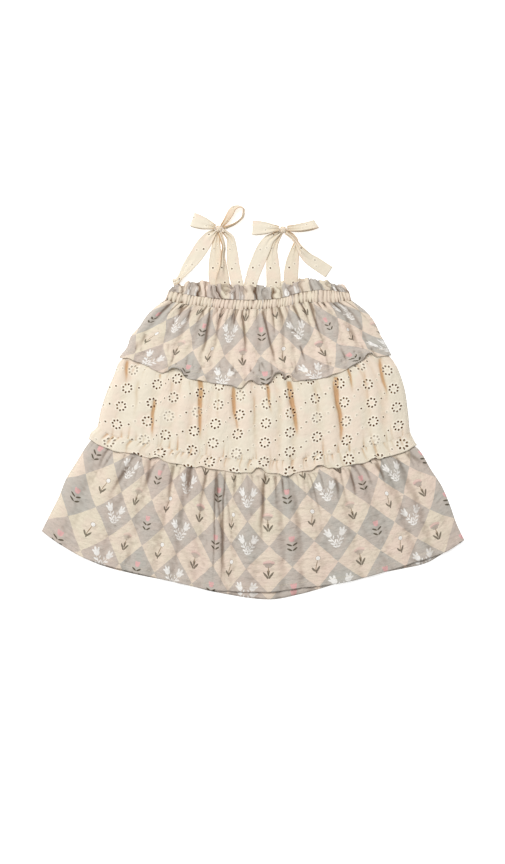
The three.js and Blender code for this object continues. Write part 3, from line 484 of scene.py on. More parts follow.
@dataclass
class Tier:
    """A panel's outline and heights, shared with the solids, and its cloth coordinates."""

    top: dict
    bottom: dict
    left: dict
    right: dict
    rest: dict
    loft: dict
    wave: dict
    waves: int
    folds: list
    creases: list
    gathered: list
    columns: object
    print_rise: dict
    crinkle: float
    seed: int
    ripples: tuple = ()
    seam: float = 1.0
    crimp: float = 1.0
    shift: tuple = (0.0, 0.0)
    fan: tuple = (0.0, 0.0, 0.0)
    line_share: float = 0.5
    # Strengths of the shade painted along folds and pleats and in hollows
    fold_shade: float = 1.0
    pleat_shade: float = 0.8
    hollow_shade: float = 0.55
    pinch: float = 0.0

    def place(self, s, t):
        """Where shares across and down lie on the table, and how far in from the sides."""
        left = curve(self.left, t)
        right = curve(self.right, t)
        top = curve(self.top, s)
        bottom = curve(self.bottom, s)
        x = left + (right - left) * s
        y = top + (bottom - top) * t
        return x, y, np.minimum(s, 1 - s) * (right - left)

    def length(self, s):
        """The cloth's length down a column."""
        x0, y0, _ = self.place(s, np.zeros_like(s))
        x1, y1, _ = self.place(s, np.ones_like(s))
        return np.hypot(x1 - x0, y1 - y0) * self.crimp

    def from_edge(self, s, t):
        """The cloth's length from a place down to the lower edge."""
        return (1 - t) * self.length(s)

    def cloth(self, s, t):
        """Where the cloth was before it was gathered: across, and up from the hem."""
        from_s, from_t = BODICE_FAN_FROM
        upper_left, upper_right, lower = self.fan
        fan = np.where(t > from_t, lower, np.where(s < from_s, upper_left, upper_right))
        spread = s + fan * (from_t - t) * (s - from_s)
        up = self.from_edge(s, t) - curve(self.print_rise, s)
        return self.columns(spread) + self.shift[0], up + self.shift[1]

    def find(self, across, along):
        """The shares across and down at which a place of the cloth lies."""
        steps = np.linspace(0, 1, 2001)
        s = np.interp(across - self.shift[0], self.columns(steps), steps)
        return s, 1 - (along - self.shift[1] + curve(self.print_rise, s)) / self.length(s)

    def gathers(self, s, t):
        """Depth and bottom lines of the short pleats along the gathered seams."""
        width = curve(self.right, t) - curve(self.left, t)
        long = self.length(s)
        depth = np.zeros_like(s)
        line = np.zeros_like(s)
        for row in self.gathered:
            rng = np.random.default_rng(row.seed)
            down = (t - row.start) * row.way * long
            for k in range(row.count):
                at = (k + rng.uniform(-0.5, 1.5)) / row.count
                reach = rng.uniform(row.shortest, row.longest)
                lean = rng.uniform(-0.12, 0.12)
                deep = row.depth * rng.uniform(0.35, 1)
                half = row.half * rng.uniform(0.7, 1.4)
                across = (s - at) * width - lean * down
                taper = np.clip(1 - down / reach, 0, 1) * (down >= -0.01)
                depth += deep * taper * np.exp(-np.abs(across / half) ** FOLD_SHARP)
                line += deep / FULL_PLEAT * taper * bell(across, 0.55 * half)
        return depth, line

    def back_rest(self, t):
        """Underside of the back tier: it lies on the table, or on the flounce of the tier before."""
        return np.maximum(curve(self.rest, np.minimum(t, BACK_REST_TO)) - LAYER, 0)

    def front(self, s, t, thick):
        """The front's middle surface, and the shade painted along the bottom lines of its creases and
        pleats.
        """
        x, y, inset = self.place(s, t)
        risen = 1 - np.exp(-inset / SIDE_RISE)
        crests = even_gathers(s, self.waves)
        deep, deep_line = creased(self.folds, x, y, FOLD_NARROW, self.line_share)
        fine, fine_line = creased(self.creases, x, y)
        pleats, pleat_line = self.gathers(s, t)
        down = deep * FOLD_SINK + (fine + pleats) * CREASE_SINK
        lift = soft_floor(risen * (curve(self.loft, t) + curve(self.wave, t) * crests - down))
        lift = lift * (1 - self.pinch * smooth(t, PINCHED_TO, 0))
        free = np.clip((t - self.seam) / max(1 - self.seam, 1e-6), 0, 1)
        pull = np.zeros_like(x)
        for ripple in self.ripples:
            off = (s - ripple.s) / ripple.wide
            bump = np.exp(-(np.abs(off) ** 2.6))
            lift = lift + free * bump * ripple.rise
            y = y + free**1.5 * bump * ripple.back
            pull += free**1.5 * off * bell(off) * ripple.back * RIPPLE_PULL
        across, along = self.cloth(s, t)
        crimp = sum(
            much * noise(across / wide, along / high, self.seed + which)
            for wide, high, much, which in CRIMPS
        )
        z = curve(self.rest, t) + WALL / 2 + lift + risen * self.crinkle * crimp
        edge = self.back_rest(t) + 1.5 * thick + 0.1
        z = edge + (z - edge) * (1 - bell(inset, SIDE_ROLL))
        y = y + free * EDGE_WOBBLE * noise(across / 7, free, self.seed + 2)
        # Shade painted along the bottom lines of the folds and pleats
        tint = self.fold_shade * (deep_line + fine_line) + self.pleat_shade * pleat_line
        return np.stack([x + pull, y, z], -1), tint

    def back(self, s, t, thick):
        """The back's middle surface: flat below, with small gathers that rise from the table."""
        x, y, inset = self.place(s, t)
        risen = 1 - np.exp(-inset / SIDE_RISE)
        crests = even_gathers(s, self.waves + 4)
        across, along = self.cloth(s, t)
        crimp = noise(across / 9, along / 3.6, self.seed + 7)
        gather = curve(self.wave, t) * 0.55 * crests + 0.2 * (1 + crimp)
        z = self.back_rest(t) + thick / 2 + 0.05 + risen * gather
        return np.stack([x, y, z], -1), np.zeros_like(x)


def hollows(height):
    """How deep each place of a grid lies below its neighbours across, from 0 to 1."""
    cols = height.shape[1]
    count = 2 * HOLLOW_REACH + 1
    wide = np.pad(height, ((0, 0), (HOLLOW_REACH, HOLLOW_REACH)), mode="edge")
    around = sum(wide[:, k:k + cols] for k in range(count)) / count
    return np.clip((around - height) / HOLLOW_DEPTH, 0, 1)


def soft_floor(lift):
    """Lift kept above zero with a rounded corner."""
    return 0.5 * (lift + np.sqrt(lift**2 + 0.16))


def columns_of(table, width):
    """Cloth place across a panel from a table of the print's columns."""
    return lambda s: curve(table, s) * width


def eyelet_columns(pitch, laid_width):
    """Cloth place across the eyelet tier: flat round each rosette, with the spare cloth in between."""
    table = {}
    for i, at in enumerate(EYELET_COLUMNS):
        for off in (-ROSETTE_FLAT, ROSETTE_FLAT):
            table[at + off / laid_width] = i * pitch + off
    table[0] = -EYELET_COLUMNS[0] * laid_width
    table[1] = (len(EYELET_COLUMNS) - 1) * pitch + (1 - EYELET_COLUMNS[-1]) * laid_width
    return columns_of(dict(sorted(table.items())), 1)


def lengths(points, axis):
    """Running length in millimetres along one axis of a grid of points."""
    step = np.linalg.norm(np.diff(points, axis=axis), axis=-1)
    start = np.zeros_like(np.take(step, [0], axis=axis))
    return np.concatenate([start, np.cumsum(step, axis=axis)], axis=axis)


def normals_of(points):
    """Upward normals of a grid of points."""
    return unit(np.cross(np.gradient(points, axis=0), np.gradient(points, axis=1)))


def make_mesh(name, verts, faces, cloth, crease_shade=None):
    """A mesh object in metres from arrays in millimetres, with cloth coordinates as its UV map."""
    mesh = bpy.data.meshes.new(name)
    rows = faces if isinstance(faces, list) else faces.tolist()
    mesh.from_pydata((verts * MM).tolist(), [], rows)
    layer = mesh.uv_layers.new(name="cloth")
    corners = np.zeros(len(mesh.loops), int)
    mesh.loops.foreach_get("vertex_index", corners)
    layer.data.foreach_set("uv", (cloth * MM)[corners].astype(np.float32).ravel())
    # The shade painted at each point, by which the materials darken their colour
    shade = mesh.attributes.new("crease_shade", "FLOAT", "POINT")
    values = np.zeros(len(verts)) if crease_shade is None else crease_shade
    shade.data.foreach_set("value", values.astype(np.float32))
    mesh.shade_smooth()
    made = bpy.data.objects.new(name, mesh)
    bpy.context.scene.collection.objects.link(made)
    return made


def shell(name, middle, cloth, thick, crease_shade):
    """A closed thin wall round a grid of middle points."""
    rows, cols = middle.shape[:2]
    out = normals_of(middle) * (np.broadcast_to(thick, (rows, cols))[..., None] / 2)
    verts = np.concatenate([(middle + out).reshape(-1, 3), (middle - out).reshape(-1, 3)])
    at = np.arange(rows * cols).reshape(rows, cols)
    a, b, c, d = at[:-1, :-1], at[1:, :-1], at[1:, 1:], at[:-1, 1:]
    top = np.stack([a, b, c, d], -1).reshape(-1, 4)
    low = top[:, ::-1] + rows * cols

    def rim(first, second, upper):
        lower = upper + rows * cols
        return np.stack([upper[first], upper[second], lower[second], lower[first]], -1)

    here, after = slice(None, -1), slice(1, None)
    rims = [rim(after, here, at[:, 0]), rim(here, after, at[:, -1])]
    rims += [rim(here, after, at[0]), rim(after, here, at[-1])]
    faces = np.concatenate([top, low, *rims])
    flat = cloth.reshape(-1, 2)
    deep = np.tile(np.clip(crease_shade, 0, DEEPEST).ravel(), 2)
    return make_mesh(name, verts, faces, np.concatenate([flat, flat]), deep)


def grid(cols, rows):
    """Shares across and down at a grid's corners."""
    return np.meshgrid(np.linspace(0, 1, cols + 1), np.linspace(0, 1, rows + 1))


def finish_piece(piece, node, material):
    """Gives a piece its material, parents it to the root body's empty, and hides the solid it replaces."""
    piece.data.materials.append(material)
    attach(piece, "root")
    if node:
        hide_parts(node)
    return piece


def repeat(verts, faces, places, frames):
    """One small form repeated at many places, each with its three axes, as one set of arrays."""
    count = len(places)
    all_verts = np.einsum("vk,nkx->nvx", verts, frames) + places[:, None, :]
    all_faces = faces[None] + (np.arange(count) * len(verts))[:, None, None]
    return all_verts.reshape(-1, 3), all_faces.reshape(-1, faces.shape[1])


def surface_frames(surface, s, t):
    """Place and axes (across, along, up) of a surface at many places."""
    here = surface(s, t)
    step = 1e-3
    across = surface(np.clip(s + step, 0, 1), t) - surface(np.clip(s - step, 0, 1), t)
    along = surface(s, np.clip(t - step, 0, 1)) - surface(s, np.clip(t + step, 0, 1))
    across = unit(across)
    up = unit(np.cross(across, along))
    return here, np.stack([across, np.cross(up, across), up], 1)


def cloth_frames(surface, across, along):
    """Place and axes of a surface given by cloth coordinates. Gathered cloth has shorter axes."""
    here = surface(across, along)
    right = surface(across + 0.5, along) - surface(across - 0.5, along)
    ahead = surface(across, along + 0.5) - surface(across, along - 0.5)
    return here, np.stack([right, ahead, unit(np.cross(right, ahead))], 1)


def ring(inner, tube):
    """A small stitched ring, flat in its first two axes."""
    sides, around = 10, 5
    turn = 2 * np.pi * np.arange(sides) / sides
    bend = 2 * np.pi * np.arange(around) / around
    a, b = np.meshgrid(turn, bend, indexing="ij")
    radius = inner + tube + tube * np.cos(b)
    verts = np.stack([radius * np.cos(a), radius * np.sin(a), tube * 0.8 * np.sin(b)], -1).reshape(-1, 3)
    i, j = np.meshgrid(np.arange(sides), np.arange(around), indexing="ij")
    near = i * around + j
    far = ((i + 1) % sides) * around + j
    up = i * around + (j + 1) % around
    far_up = ((i + 1) % sides) * around + (j + 1) % around
    return verts, np.stack([near, far, far_up, up], -1).reshape(-1, 4)


def stitch(long, thick):
    """One thread stitch lying along its first axis: a bar with pressed-in ends."""
    sections = [(-0.5, 0.25), (-0.3, 1), (0.3, 1), (0.5, 0.25)]
    verts = []
    for place, size in sections:
        half = thick * size / 2
        sunk = thick * 0.3 * (1 - size)
        for y, z in ((-1, -0.6), (1, -0.6), (1, 1), (-1, 1)):
            verts.append((place * long, y * half, z * half - sunk))
    faces = [(3, 2, 1, 0), (12, 13, 14, 15)]
    for k in range(len(sections) - 1):
        for j in range(4):
            a, b = 4 * k + j, 4 * k + (j + 1) % 4
            faces.append((a, b, b + 4, a + 4))
    return np.array(verts), np.array(faces)


class Ribbon:
    """A ribbon's middle surface: a is the share across it, b the share along it."""

    def __init__(self, rows, is_loop, width):
        self.width = width
        share = np.linspace(0, 1, len(rows))
        self.steps = np.linspace(0, 1, 161)
        columns = [curve(dict(zip(share, column)), self.steps) for column in zip(*rows)]
        self.path = np.stack(columns[:3], -1)
        self.wide = columns[3]
        tangent = unit(np.gradient(self.path, axis=0))
        up = np.array([0, 0, 1.0])
        side = None
        edges = []
        for ahead, turn in zip(tangent, np.radians(columns[4])):
            if side is None or not is_loop:
                side = np.cross(ahead, up)
            side = unit(side - side.dot(ahead) * ahead)
            edges.append(side * math.cos(turn) + np.cross(ahead, side) * math.sin(turn))
        self.edge = np.array(edges)
        self.face = np.cross(self.edge, tangent)
        self.along = lengths(self.path, 0)

    def at(self, values, b):
        """A value of the path at shares along it."""
        if values.ndim == 1:
            return np.interp(b, self.steps, values)
        return np.stack([np.interp(b, self.steps, values[:, k]) for k in range(3)], -1)

    def surface(self, a, b):
        """The middle surface, pleated where the ribbon is narrowed, and never below the table."""
        wide = self.at(self.wide, b)
        spare = self.wide.max() - wide
        deep = np.minimum(np.minimum(0.25 * spare / RIBBON_PLEATS, 0.16 * wide), 1.0)
        pleat = deep * np.cos(2 * np.pi * RIBBON_PLEATS * a + RIBBON_DRIFT * b)
        ripple = RIBBON_RIPPLE * noise(a * 2.2 + 3, self.at(self.along, b) / 13, 41)
        hem = bell(np.minimum(a, 1 - a) * wide / 1.6 - 1, 0.5, -0.12)
        across = self.at(self.edge, b) * ((a - 0.5) * wide)[..., None]
        place = self.at(self.path, b) + across + self.at(self.face, b) * (pleat + ripple + hem)[..., None]
        place[..., 2] = np.maximum(place[..., 2], RIBBON_REST)
        return place

    def cloth(self, a, b):
        """Cloth coordinates between two columns of rosettes, where only pairs of eyelets lie."""
        return EYELET_PITCH[0] * 0.5 + (a - 0.5) * self.width, self.at(self.along, b)

    def by_cloth(self, across, along):
        """The middle surface by cloth coordinates."""
        a = (across - EYELET_PITCH[0] * 0.5) / self.width + 0.5
        return self.surface(a, np.interp(along, self.along, self.steps))


def eyelet_places(u_range, v_range):
    """Cloth places of every hole of the eyelet pattern in a range."""
    wide, high = EYELET_PITCH
    found = []
    for i in range(math.floor(u_range[0] / wide) - 1, math.ceil(u_range[1] / wide) + 2):
        drop = high / 2 * (i % 2)
        for j in range(math.floor(v_range[0] / high) - 1, math.ceil(v_range[1] / high) + 2):
            centre = (i * wide, j * high + drop)
            for k in range(ROSETTE_HOLES):
                turn = 2 * math.pi * k / ROSETTE_HOLES
                radius = ROSETTE_RADIUS
                found.append((centre[0] + radius * math.cos(turn), centre[1] + radius * math.sin(turn)))
            middle = (centre[0] + wide / 2, centre[1] + high / 4)
            found.append((middle[0] - PAIR_OFFSET[0], middle[1] - PAIR_OFFSET[1]))
            found.append((middle[0] + PAIR_OFFSET[0], middle[1] + PAIR_OFFSET[1]))
    places = np.array(found)
    keep = (places[:, 0] > u_range[0]) & (places[:, 0] < u_range[1])
    keep &= (places[:, 1] > v_range[0]) & (places[:, 1] < v_range[1])
    return places[keep]


def math_node(operation):
    """A method that adds one Math node to a shader value."""
    return lambda value, *others: value.math(operation, *others)


class Value:
    """A shader value. Arithmetic on it adds Math nodes."""

    def __init__(self, shader, link):
        self.shader = shader
        self.link = link

    def math(self, operation, *others):
        """Adds a Math node that works on this value and others."""
        sockets = dict(enumerate((self, *others)))
        return self.shader.node("ShaderNodeMath", {"operation": operation}, sockets)

    def __rsub__(self, other):
        return self * -1 + other

    __add__ = __radd__ = math_node("ADD")
    __sub__ = math_node("SUBTRACT")
    __mul__ = __rmul__ = math_node("MULTIPLY")
    __truediv__ = math_node("DIVIDE")
    __mod__ = math_node("FLOORED_MODULO")
    __gt__ = math_node("GREATER_THAN")
    __abs__ = math_node("ABSOLUTE")
    floor = math_node("FLOOR")
    round = math_node("ROUND")
    root = math_node("SQRT")
    sign = math_node("SIGN")
    sine = math_node("SINE")
    cosine = math_node("COSINE")
    angle = math_node("ARCTAN2")
    most = math_node("MAXIMUM")
    least = math_node("MINIMUM")

    def ramp(self, low, high):
        """0 at low and 1 at high, smooth between them. low may be the larger."""
        span = {"Value": self, "From Min": low, "From Max": high}
        return self.shader.node("ShaderNodeMapRange", {"interpolation_type": "SMOOTHSTEP"}, span)


class Shader:
    """A material under construction."""

    def __init__(self, name):
        self.material = bpy.data.materials.new(name)
        self.material.use_nodes = True
        self.tree = self.material.node_tree
        self.surface = self.tree.nodes["Principled BSDF"]

    def node(self, kind, settings=None, sockets=None, output=0):
        """Adds a node of a type, with its settings and then its sockets' values or links."""
        made = self.tree.nodes.new(kind)
        for key, value in (settings or {}).items():
            setattr(made, key, value)
        for key, value in (sockets or {}).items():
            if isinstance(value, Value):
                self.tree.links.new(value.link, made.inputs[key])
            else:
                made.inputs[key].default_value = value
        return Value(self, made.outputs[output])

    def mix(self, factor, a, b, blend="MIX"):
        """Colour a where factor is 0, and b blended with it where factor is 1."""
        sockets = {"Factor": factor, 6: opaque(a), 7: opaque(b)}
        return self.node("ShaderNodeMix", {"data_type": "RGBA", "blend_type": blend}, sockets, output=2)

    def tint(self, colour, factor, by):
        """The colour multiplied by another where factor is 1."""
        return self.mix(factor, colour, by, "MULTIPLY")

    def cloth(self):
        """The cloth's own coordinates in millimetres, across and along."""
        place = self.node("ShaderNodeUVMap", {"uv_map": "cloth"})
        split = self.node("ShaderNodeSeparateXYZ", None, {0: place})
        along = Value(self, split.link.node.outputs[1])
        return split / MM, along / MM

    def join(self, x, y, z=0.0):
        return self.node("ShaderNodeCombineXYZ", None, {0: x, 1: y, 2: z})

    def noise(self, place, scale, detail=2.0, rough=0.5):
        sockets = {"Vector": place, "Scale": scale, "Detail": detail, "Roughness": rough}
        return self.node("ShaderNodeTexNoise", {"noise_dimensions": "2D"}, sockets)

    def chance(self, x, y):
        """A number from 0 to 1 that differs from cell to cell."""
        sockets = {"Vector": self.join(x, y)}
        return self.node("ShaderNodeTexWhiteNoise", {"noise_dimensions": "2D"}, sockets)

    def crease_shade(self):
        """How much shade is painted at each place, in folds and hollows and along edges, as the mesh keeps
        it.
        """
        return self.node("ShaderNodeAttribute", {"attribute_name": "crease_shade"}, output=2)

    def blob(self, place, x, y, wide, high, turn=0.0):
        """A soft-edged ellipse of the given half sizes, turned by degrees."""
        sockets = {"Vector": place, "Location": (x, y, 0), "Scale": (wide, high, 1)}
        sockets["Rotation"] = (0, 0, math.radians(turn))
        inside = self.node("ShaderNodeMapping", {"vector_type": "TEXTURE"}, sockets)
        reach = self.node("ShaderNodeVectorMath", {"operation": "LENGTH"}, {0: inside}, output=1)
        return reach.ramp(1 + SOFT_EDGE, 1 - SOFT_EDGE)

    def blobs(self, place, rows):
        """Several ellipses as one mask."""
        mask = self.blob(place, *rows[0])
        for row in rows[1:]:
            mask = mask.most(self.blob(place, *row))
        return mask

    def bump(self, height, strength=1.0):
        """A normal from a height in metres."""
        sockets = {"Height": height, "Strength": strength, "Distance": 1.0}
        return self.node("ShaderNodeBump", None, sockets)

    def put(self, **sockets):
        """Sets the surface's sockets. An underscore in a name stands for a space."""
        for key, value in sockets.items():
            socket = self.surface.inputs[key.replace("_", " ")]
            if isinstance(value, Value):
                self.tree.links.new(value.link, socket)
            else:
                socket.default_value = value


# The softness of a printed motif's edge, the shade painted in the crinkles' hollows, and how much darker
# twisted threads are
SOFT_EDGE = 0.12
CRINKLE_SHADE = (0.82, 0.78, 0.74)
TWIST_SHADE = 0.86

# Heights in metres of the bump of the threads, and how strongly the bumps show
WEAVE = 0.00012
BUMP = 0.8


def linear(red, green, blue):
    """A colour as seen, from 0 to 255, as the renderer's linear colour."""
    parts = [v / 255 for v in (red, green, blue)]
    return tuple(v / 12.92 if v <= 0.04045 else ((v + 0.055) / 1.055) ** 2.4 for v in parts)


def opaque(colour):
    """A colour with full alpha. A shader value stays as it is."""
    return colour if isinstance(colour, Value) else (*colour, 1.0)


# The print's motifs, each an ellipse: place from the diamond's centre, half sizes and turn.
# A row with a place off the middle is drawn on both sides where the motif is mirrored.
TULIP_HEAD = [(0, 5.2, 3.4, 3.0), (2.3, 7.2, 1.5, 3.0, -16), (0, 7.4, 1.3, 2.8)]
TULIP_LEAVES = [(3.7, -1.6, 3.9, 1.2, 30), (3.5, -8.2, 3.7, 1.2, 34)]
TWIN_HEADS = [(9.0, 6.4, 3.9, 4.4, -34), (12.0, 10.8, 1.5, 3.6, -28), (8.0, 11.4, 1.5, 3.2, -6),
              (13.4, 7.4, 1.3, 3.0, -62)]
TWIN_STEMS = [(4.4, -3.6, 0.6, 7.6, -32), (7.9, -2.4, 1.2, 3.0, -74), (5.2, -7.6, 1.2, 3.2, -66),
              (2.6, -11.6, 1.1, 2.8, -58), (3.2, 1.6, 0.9, 2.7, 14), (1.4, -4.0, 0.9, 2.8, 10),
              (0, -9.8, 0.8, 3.2)]
PINK_CROWN = [(0, 11.0, 4.4, 2.2), (4.6, 9.8, 3.0, 1.9, -24)]
PINK_CUP = [(0, 7.4, 6.8, 2.6), (0, 4.8, 4.2, 2.4)]
SPRIG_LEAVES = [(3.2, -8.0, 1.35, 5.2, -36), (1.8, -10.4, 1.0, 2.8, -24), (0.6, -5.6, 0.7, 4.6, -10)]
SPRIG_STEM = [(0, -2.0, 0.6, 6.4)]
DAISY_HEAD = [(3.4, 8.2, 2.9, 2.9)]
DAISY_RING = [(3.4, 8.2, 3.6, 3.6)]
DAISY_STEM = [(1.0, -1.4, 0.55, 8.0, -14)]
DAISY_LEAVES = [(-3.0, -7.2, 1.3, 3.6, 34), (2.6, -7.0, 1.3, 4.8, -32), (0.2, -10.2, 1.1, 2.6, 0)]


def diamonds(shader, cloth, look):
    """The print's colour: a lattice of grey and cream diamonds, each with its motif."""
    u, v = cloth
    wobble = shader.noise(shader.join(u, v), 0.06) - 0.5
    wide = look.diamond_width / MM
    high = look.diamond_height / MM
    a = u / wide
    b = v / high
    column, row = a.round(), b.round()
    reach = abs(a - column) + abs(b - row) + wobble * 0.05
    grey = reach.ramp(0.508, 0.492)

    grey_x = (a - column) * wide
    grey_y = (b - row) * high
    left, low = a.floor(), b.floor()
    cream_x = (a - left - 0.5) * wide
    cream_y = (b - low - 0.5) * high
    odd_grey = column % 2 > 0.5
    odd_cream = left % 2 > 0.5
    cream_cell = 1 - grey
    tulip_cell = (1 - odd_grey) * grey
    twin_cell = odd_grey * grey
    sprig_cell = odd_cream * cream_cell
    daisy_cell = (1 - odd_cream) * cream_cell

    mottle = shader.noise(shader.join(u, v), 0.05, 3.0).ramp(0.35, 0.65)
    shade = shader.chance(column, row) * 0.7 + mottle * 0.3
    tone = shader.chance(left + 7, low) * 0.6 + mottle * 0.4
    greys = shader.mix(shade, look.grey_cool, look.grey_warm)
    creams = shader.mix(tone, look.cream, look.cream_warm)
    colour = shader.mix(grey, creams, greys)

    both = shader.join(abs(grey_x), grey_y)
    sprig = shader.join(abs(cream_x), cream_y)
    straight = shader.join(cream_x, cream_y)
    faded = shader.noise(shader.join(left * 0.7, low * 1.3), 1.0).ramp(0.35, 0.6) * 0.3
    dim_side = grey_x.ramp(-1.0, 1.0) * 0.25
    motifs = (
        (sprig, PINK_CUP, sprig_cell * (0.32 + faded), look.taupe),
        (sprig, PINK_CROWN, sprig_cell * (0.2 + faded), look.pink),
        (straight, SPRIG_STEM, sprig_cell * 0.85, look.stem_and_hole_shade),
        (straight, DAISY_STEM, daisy_cell * 0.85, look.stem_and_hole_shade),
        (sprig, SPRIG_LEAVES, sprig_cell * 0.8, look.leaf),
        (straight, DAISY_LEAVES, daisy_cell * 0.8, look.leaf),
        (straight, DAISY_RING, daisy_cell * 0.55, look.stem_and_hole_shade),
        (straight, DAISY_HEAD, daisy_cell, look.white),
        (both, TULIP_HEAD, tulip_cell, look.pink),
        (both, TULIP_LEAVES, tulip_cell * 0.9, look.leaf),
        (both, TWIN_HEADS + TWIN_STEMS, twin_cell * (1 - dim_side), look.white),
    )
    for place, rows, cell, dye in motifs:
        colour = shader.mix(shader.blobs(place, rows) * cell, colour, dye)
    return colour


def threads(shader, cloth):
    """Height of a plain weave with uneven threads, from 0 to 1."""
    u, v = cloth
    warp = shader.noise(shader.join(u * 2.6, v * 0.22), 1.0, 1.0)
    weft = shader.noise(shader.join(u * 0.22, v * 2.6), 1.0, 1.0)
    return (warp + weft) * 0.5


def muslin(look):
    """The printed double muslin: matt, soft and finely crinkled."""
    made = bpy.data.materials.get("Printed muslin")
    if made:
        return made
    shader = Shader("Printed muslin")
    cloth = shader.cloth()
    u, v = cloth
    colour = diamonds(shader, cloth, look)
    # Painted shade: darker in folds and hollows and along hem edges, by the mesh's shade amount
    colour = shader.tint(colour, shader.crease_shade() * look.crease_shade_strength, look.muslin_crease_shade)
    crimp = shader.noise(shader.join(u * 0.13, v * 0.24), 1.0, 4.0, 0.6)
    fine = shader.noise(shader.join(u * 0.4, v * 0.55), 1.0, 3.0, 0.6)
    weave = threads(shader, cloth)
    # Painted shade in the hollows of the fine crinkles
    colour = shader.tint(colour, fine.ramp(0.5, 0.25) * 0.25, CRINKLE_SHADE)
    height = crimp * 0.0019 + fine * 0.0006 + weave * WEAVE
    shader.put(Base_Color=colour, Roughness=0.85 + weave * 0.12, Normal=shader.bump(height, BUMP))
    shader.put(Specular_IOR_Level=0.22, Sheen_Weight=0.12, Sheen_Roughness=0.5)
    return shader.material


def eyelet_cotton(look):
    """Cream cotton with rosettes of small holes and pale raised stitching."""
    made = bpy.data.materials.get("Eyelet cotton")
    if made:
        return made
    shader = Shader("Eyelet cotton")
    cloth = shader.cloth()
    u, v = cloth
    wide, high = EYELET_PITCH
    column = (u / wide).round()
    drop = column % 2 * (high / 2)
    row = ((v - drop) / high).round()
    x = u - column * wide
    y = v - drop - row * high
    radius = (x * x + y * y).root()

    # The eight holes are one hole, repeated round the centre, a little longer outwards
    sector = 2 * math.pi / ROSETTE_HOLES
    angle = y.angle(x)
    turn = angle - (angle / sector).round() * sector
    hole_x = radius * turn.cosine() - ROSETTE_RADIUS
    hole_y = radius * turn.sine()
    rosette = (hole_x * hole_x * 0.66 + hole_y * hole_y * 1.5).root()

    left = (u / wide).floor()
    pair_drop = left % 2 * (high / 2) + high / 4
    pair_row = ((v - pair_drop) / high).round()
    pair_x = u - left * wide - wide / 2
    pair_y = v - pair_drop - pair_row * high
    side = (pair_x * PAIR_OFFSET[0] + pair_y * PAIR_OFFSET[1]).sign()
    off_x = pair_x - side * PAIR_OFFSET[0]
    off_y = pair_y - side * PAIR_OFFSET[1]
    single = (off_x * off_x + off_y * off_y).root() + SINGLE_SMALLER
    nearest = rosette.least(single)

    # Some rosettes and single holes lie nearly shut
    closed = shader.chance(column, row).ramp(0.7, 1.0) * 0.45
    lone = shader.chance(left + 0.25 * side, pair_row).ramp(0.3, 0.9) * 0.65
    rim = HOLE_RADIUS + HOLE_SOFT
    hole = rosette.ramp(rim, HOLE_RADIUS) * (1 - closed)
    hole = hole.most(single.ramp(rim, HOLE_RADIUS) * (1 - lone))
    stitched = nearest.ramp(*(HOLE_RADIUS + past for past in STITCHED_PAST))
    petals = radius.ramp(*(ROSETTE_RADIUS + past for past in PETALS_PAST)) * radius.ramp(*PETALS_FROM)

    crease_shade = shader.crease_shade()
    mottle = shader.noise(shader.join(u, v), 0.022, 3.0).ramp(0.4, 0.6)
    colour = shader.mix(mottle, look.eyelet, look.eyelet_warm)
    colour = shader.mix(petals * 0.3, colour, look.thread)
    colour = shader.mix(stitched * 0.75, colour, look.thread)
    # Painted shade: the holes are coloured as the dark shade seen through them, paler brown in some
    # patches
    shut = shader.noise(shader.join(u * 0.05, v * 0.05), 1.0).ramp(0.56, 0.68) * 0.6
    colour = shader.mix(hole, colour, shader.mix(shut, look.hole, look.stem_and_hole_shade))
    # Painted shade in folds and hollows: pale tan where shallow, orange-brown where deep
    deep = shader.mix(crease_shade.ramp(0.3, 0.75), look.cotton_shallow_shade, look.cotton_crease_shade)
    colour = shader.tint(colour, crease_shade * look.crease_shade_strength, deep)
    weave = threads(shader, cloth)
    crimp = shader.noise(shader.join(u * 0.12, v * 0.09), 1.0, 4.0, 0.55)
    satin = shader.noise(shader.join(angle * 9, radius * 0.4), 1.0, 1.0)
    height = crimp * 0.0016 + weave * WEAVE + stitched * 0.00022 + petals * satin * 0.0001
    shader.put(Base_Color=colour, Roughness=0.82 + weave * 0.12, Normal=shader.bump(height, BUMP))
    shader.put(Specular_IOR_Level=0.12, Sheen_Weight=0.08, Sheen_Roughness=0.5)
    return shader.material


def thread(name, colour):
    """Cotton thread, with its twist."""
    made = bpy.data.materials.get(name)
    if made:
        return made
    shader = Shader(name)
    place = shader.node("ShaderNodeTexCoord", None, None, output=3)
    twist = shader.noise(place, 2600.0, 1.0)
    tone = shader.mix(twist.ramp(0.3, 0.7), colour, [TWIST_SHADE * part for part in colour])
    shader.put(Base_Color=tone, Roughness=0.7 + twist * 0.15, Normal=shader.bump(twist * 0.00005))
    shader.put(Specular_IOR_Level=0.3, Sheen_Weight=0.1)
    return shader.material


def distance(title, about, value):
    """A length shown in the panel, given in millimetres."""
    size = {"default": value * MM, "min": 0.0, "precision": 5, "subtype": "DISTANCE", "unit": "LENGTH"}
    return bpy.props.FloatProperty(name=title, description=about, **size)


def paint(title, about, red, green, blue):
    """A colour shown in the panel, given as seen."""
    colour = {"default": linear(red, green, blue), "size": 3, "min": 0.0, "max": 1.0}
    return bpy.props.FloatVectorProperty(name=title, description=about, subtype="COLOR", **colour)


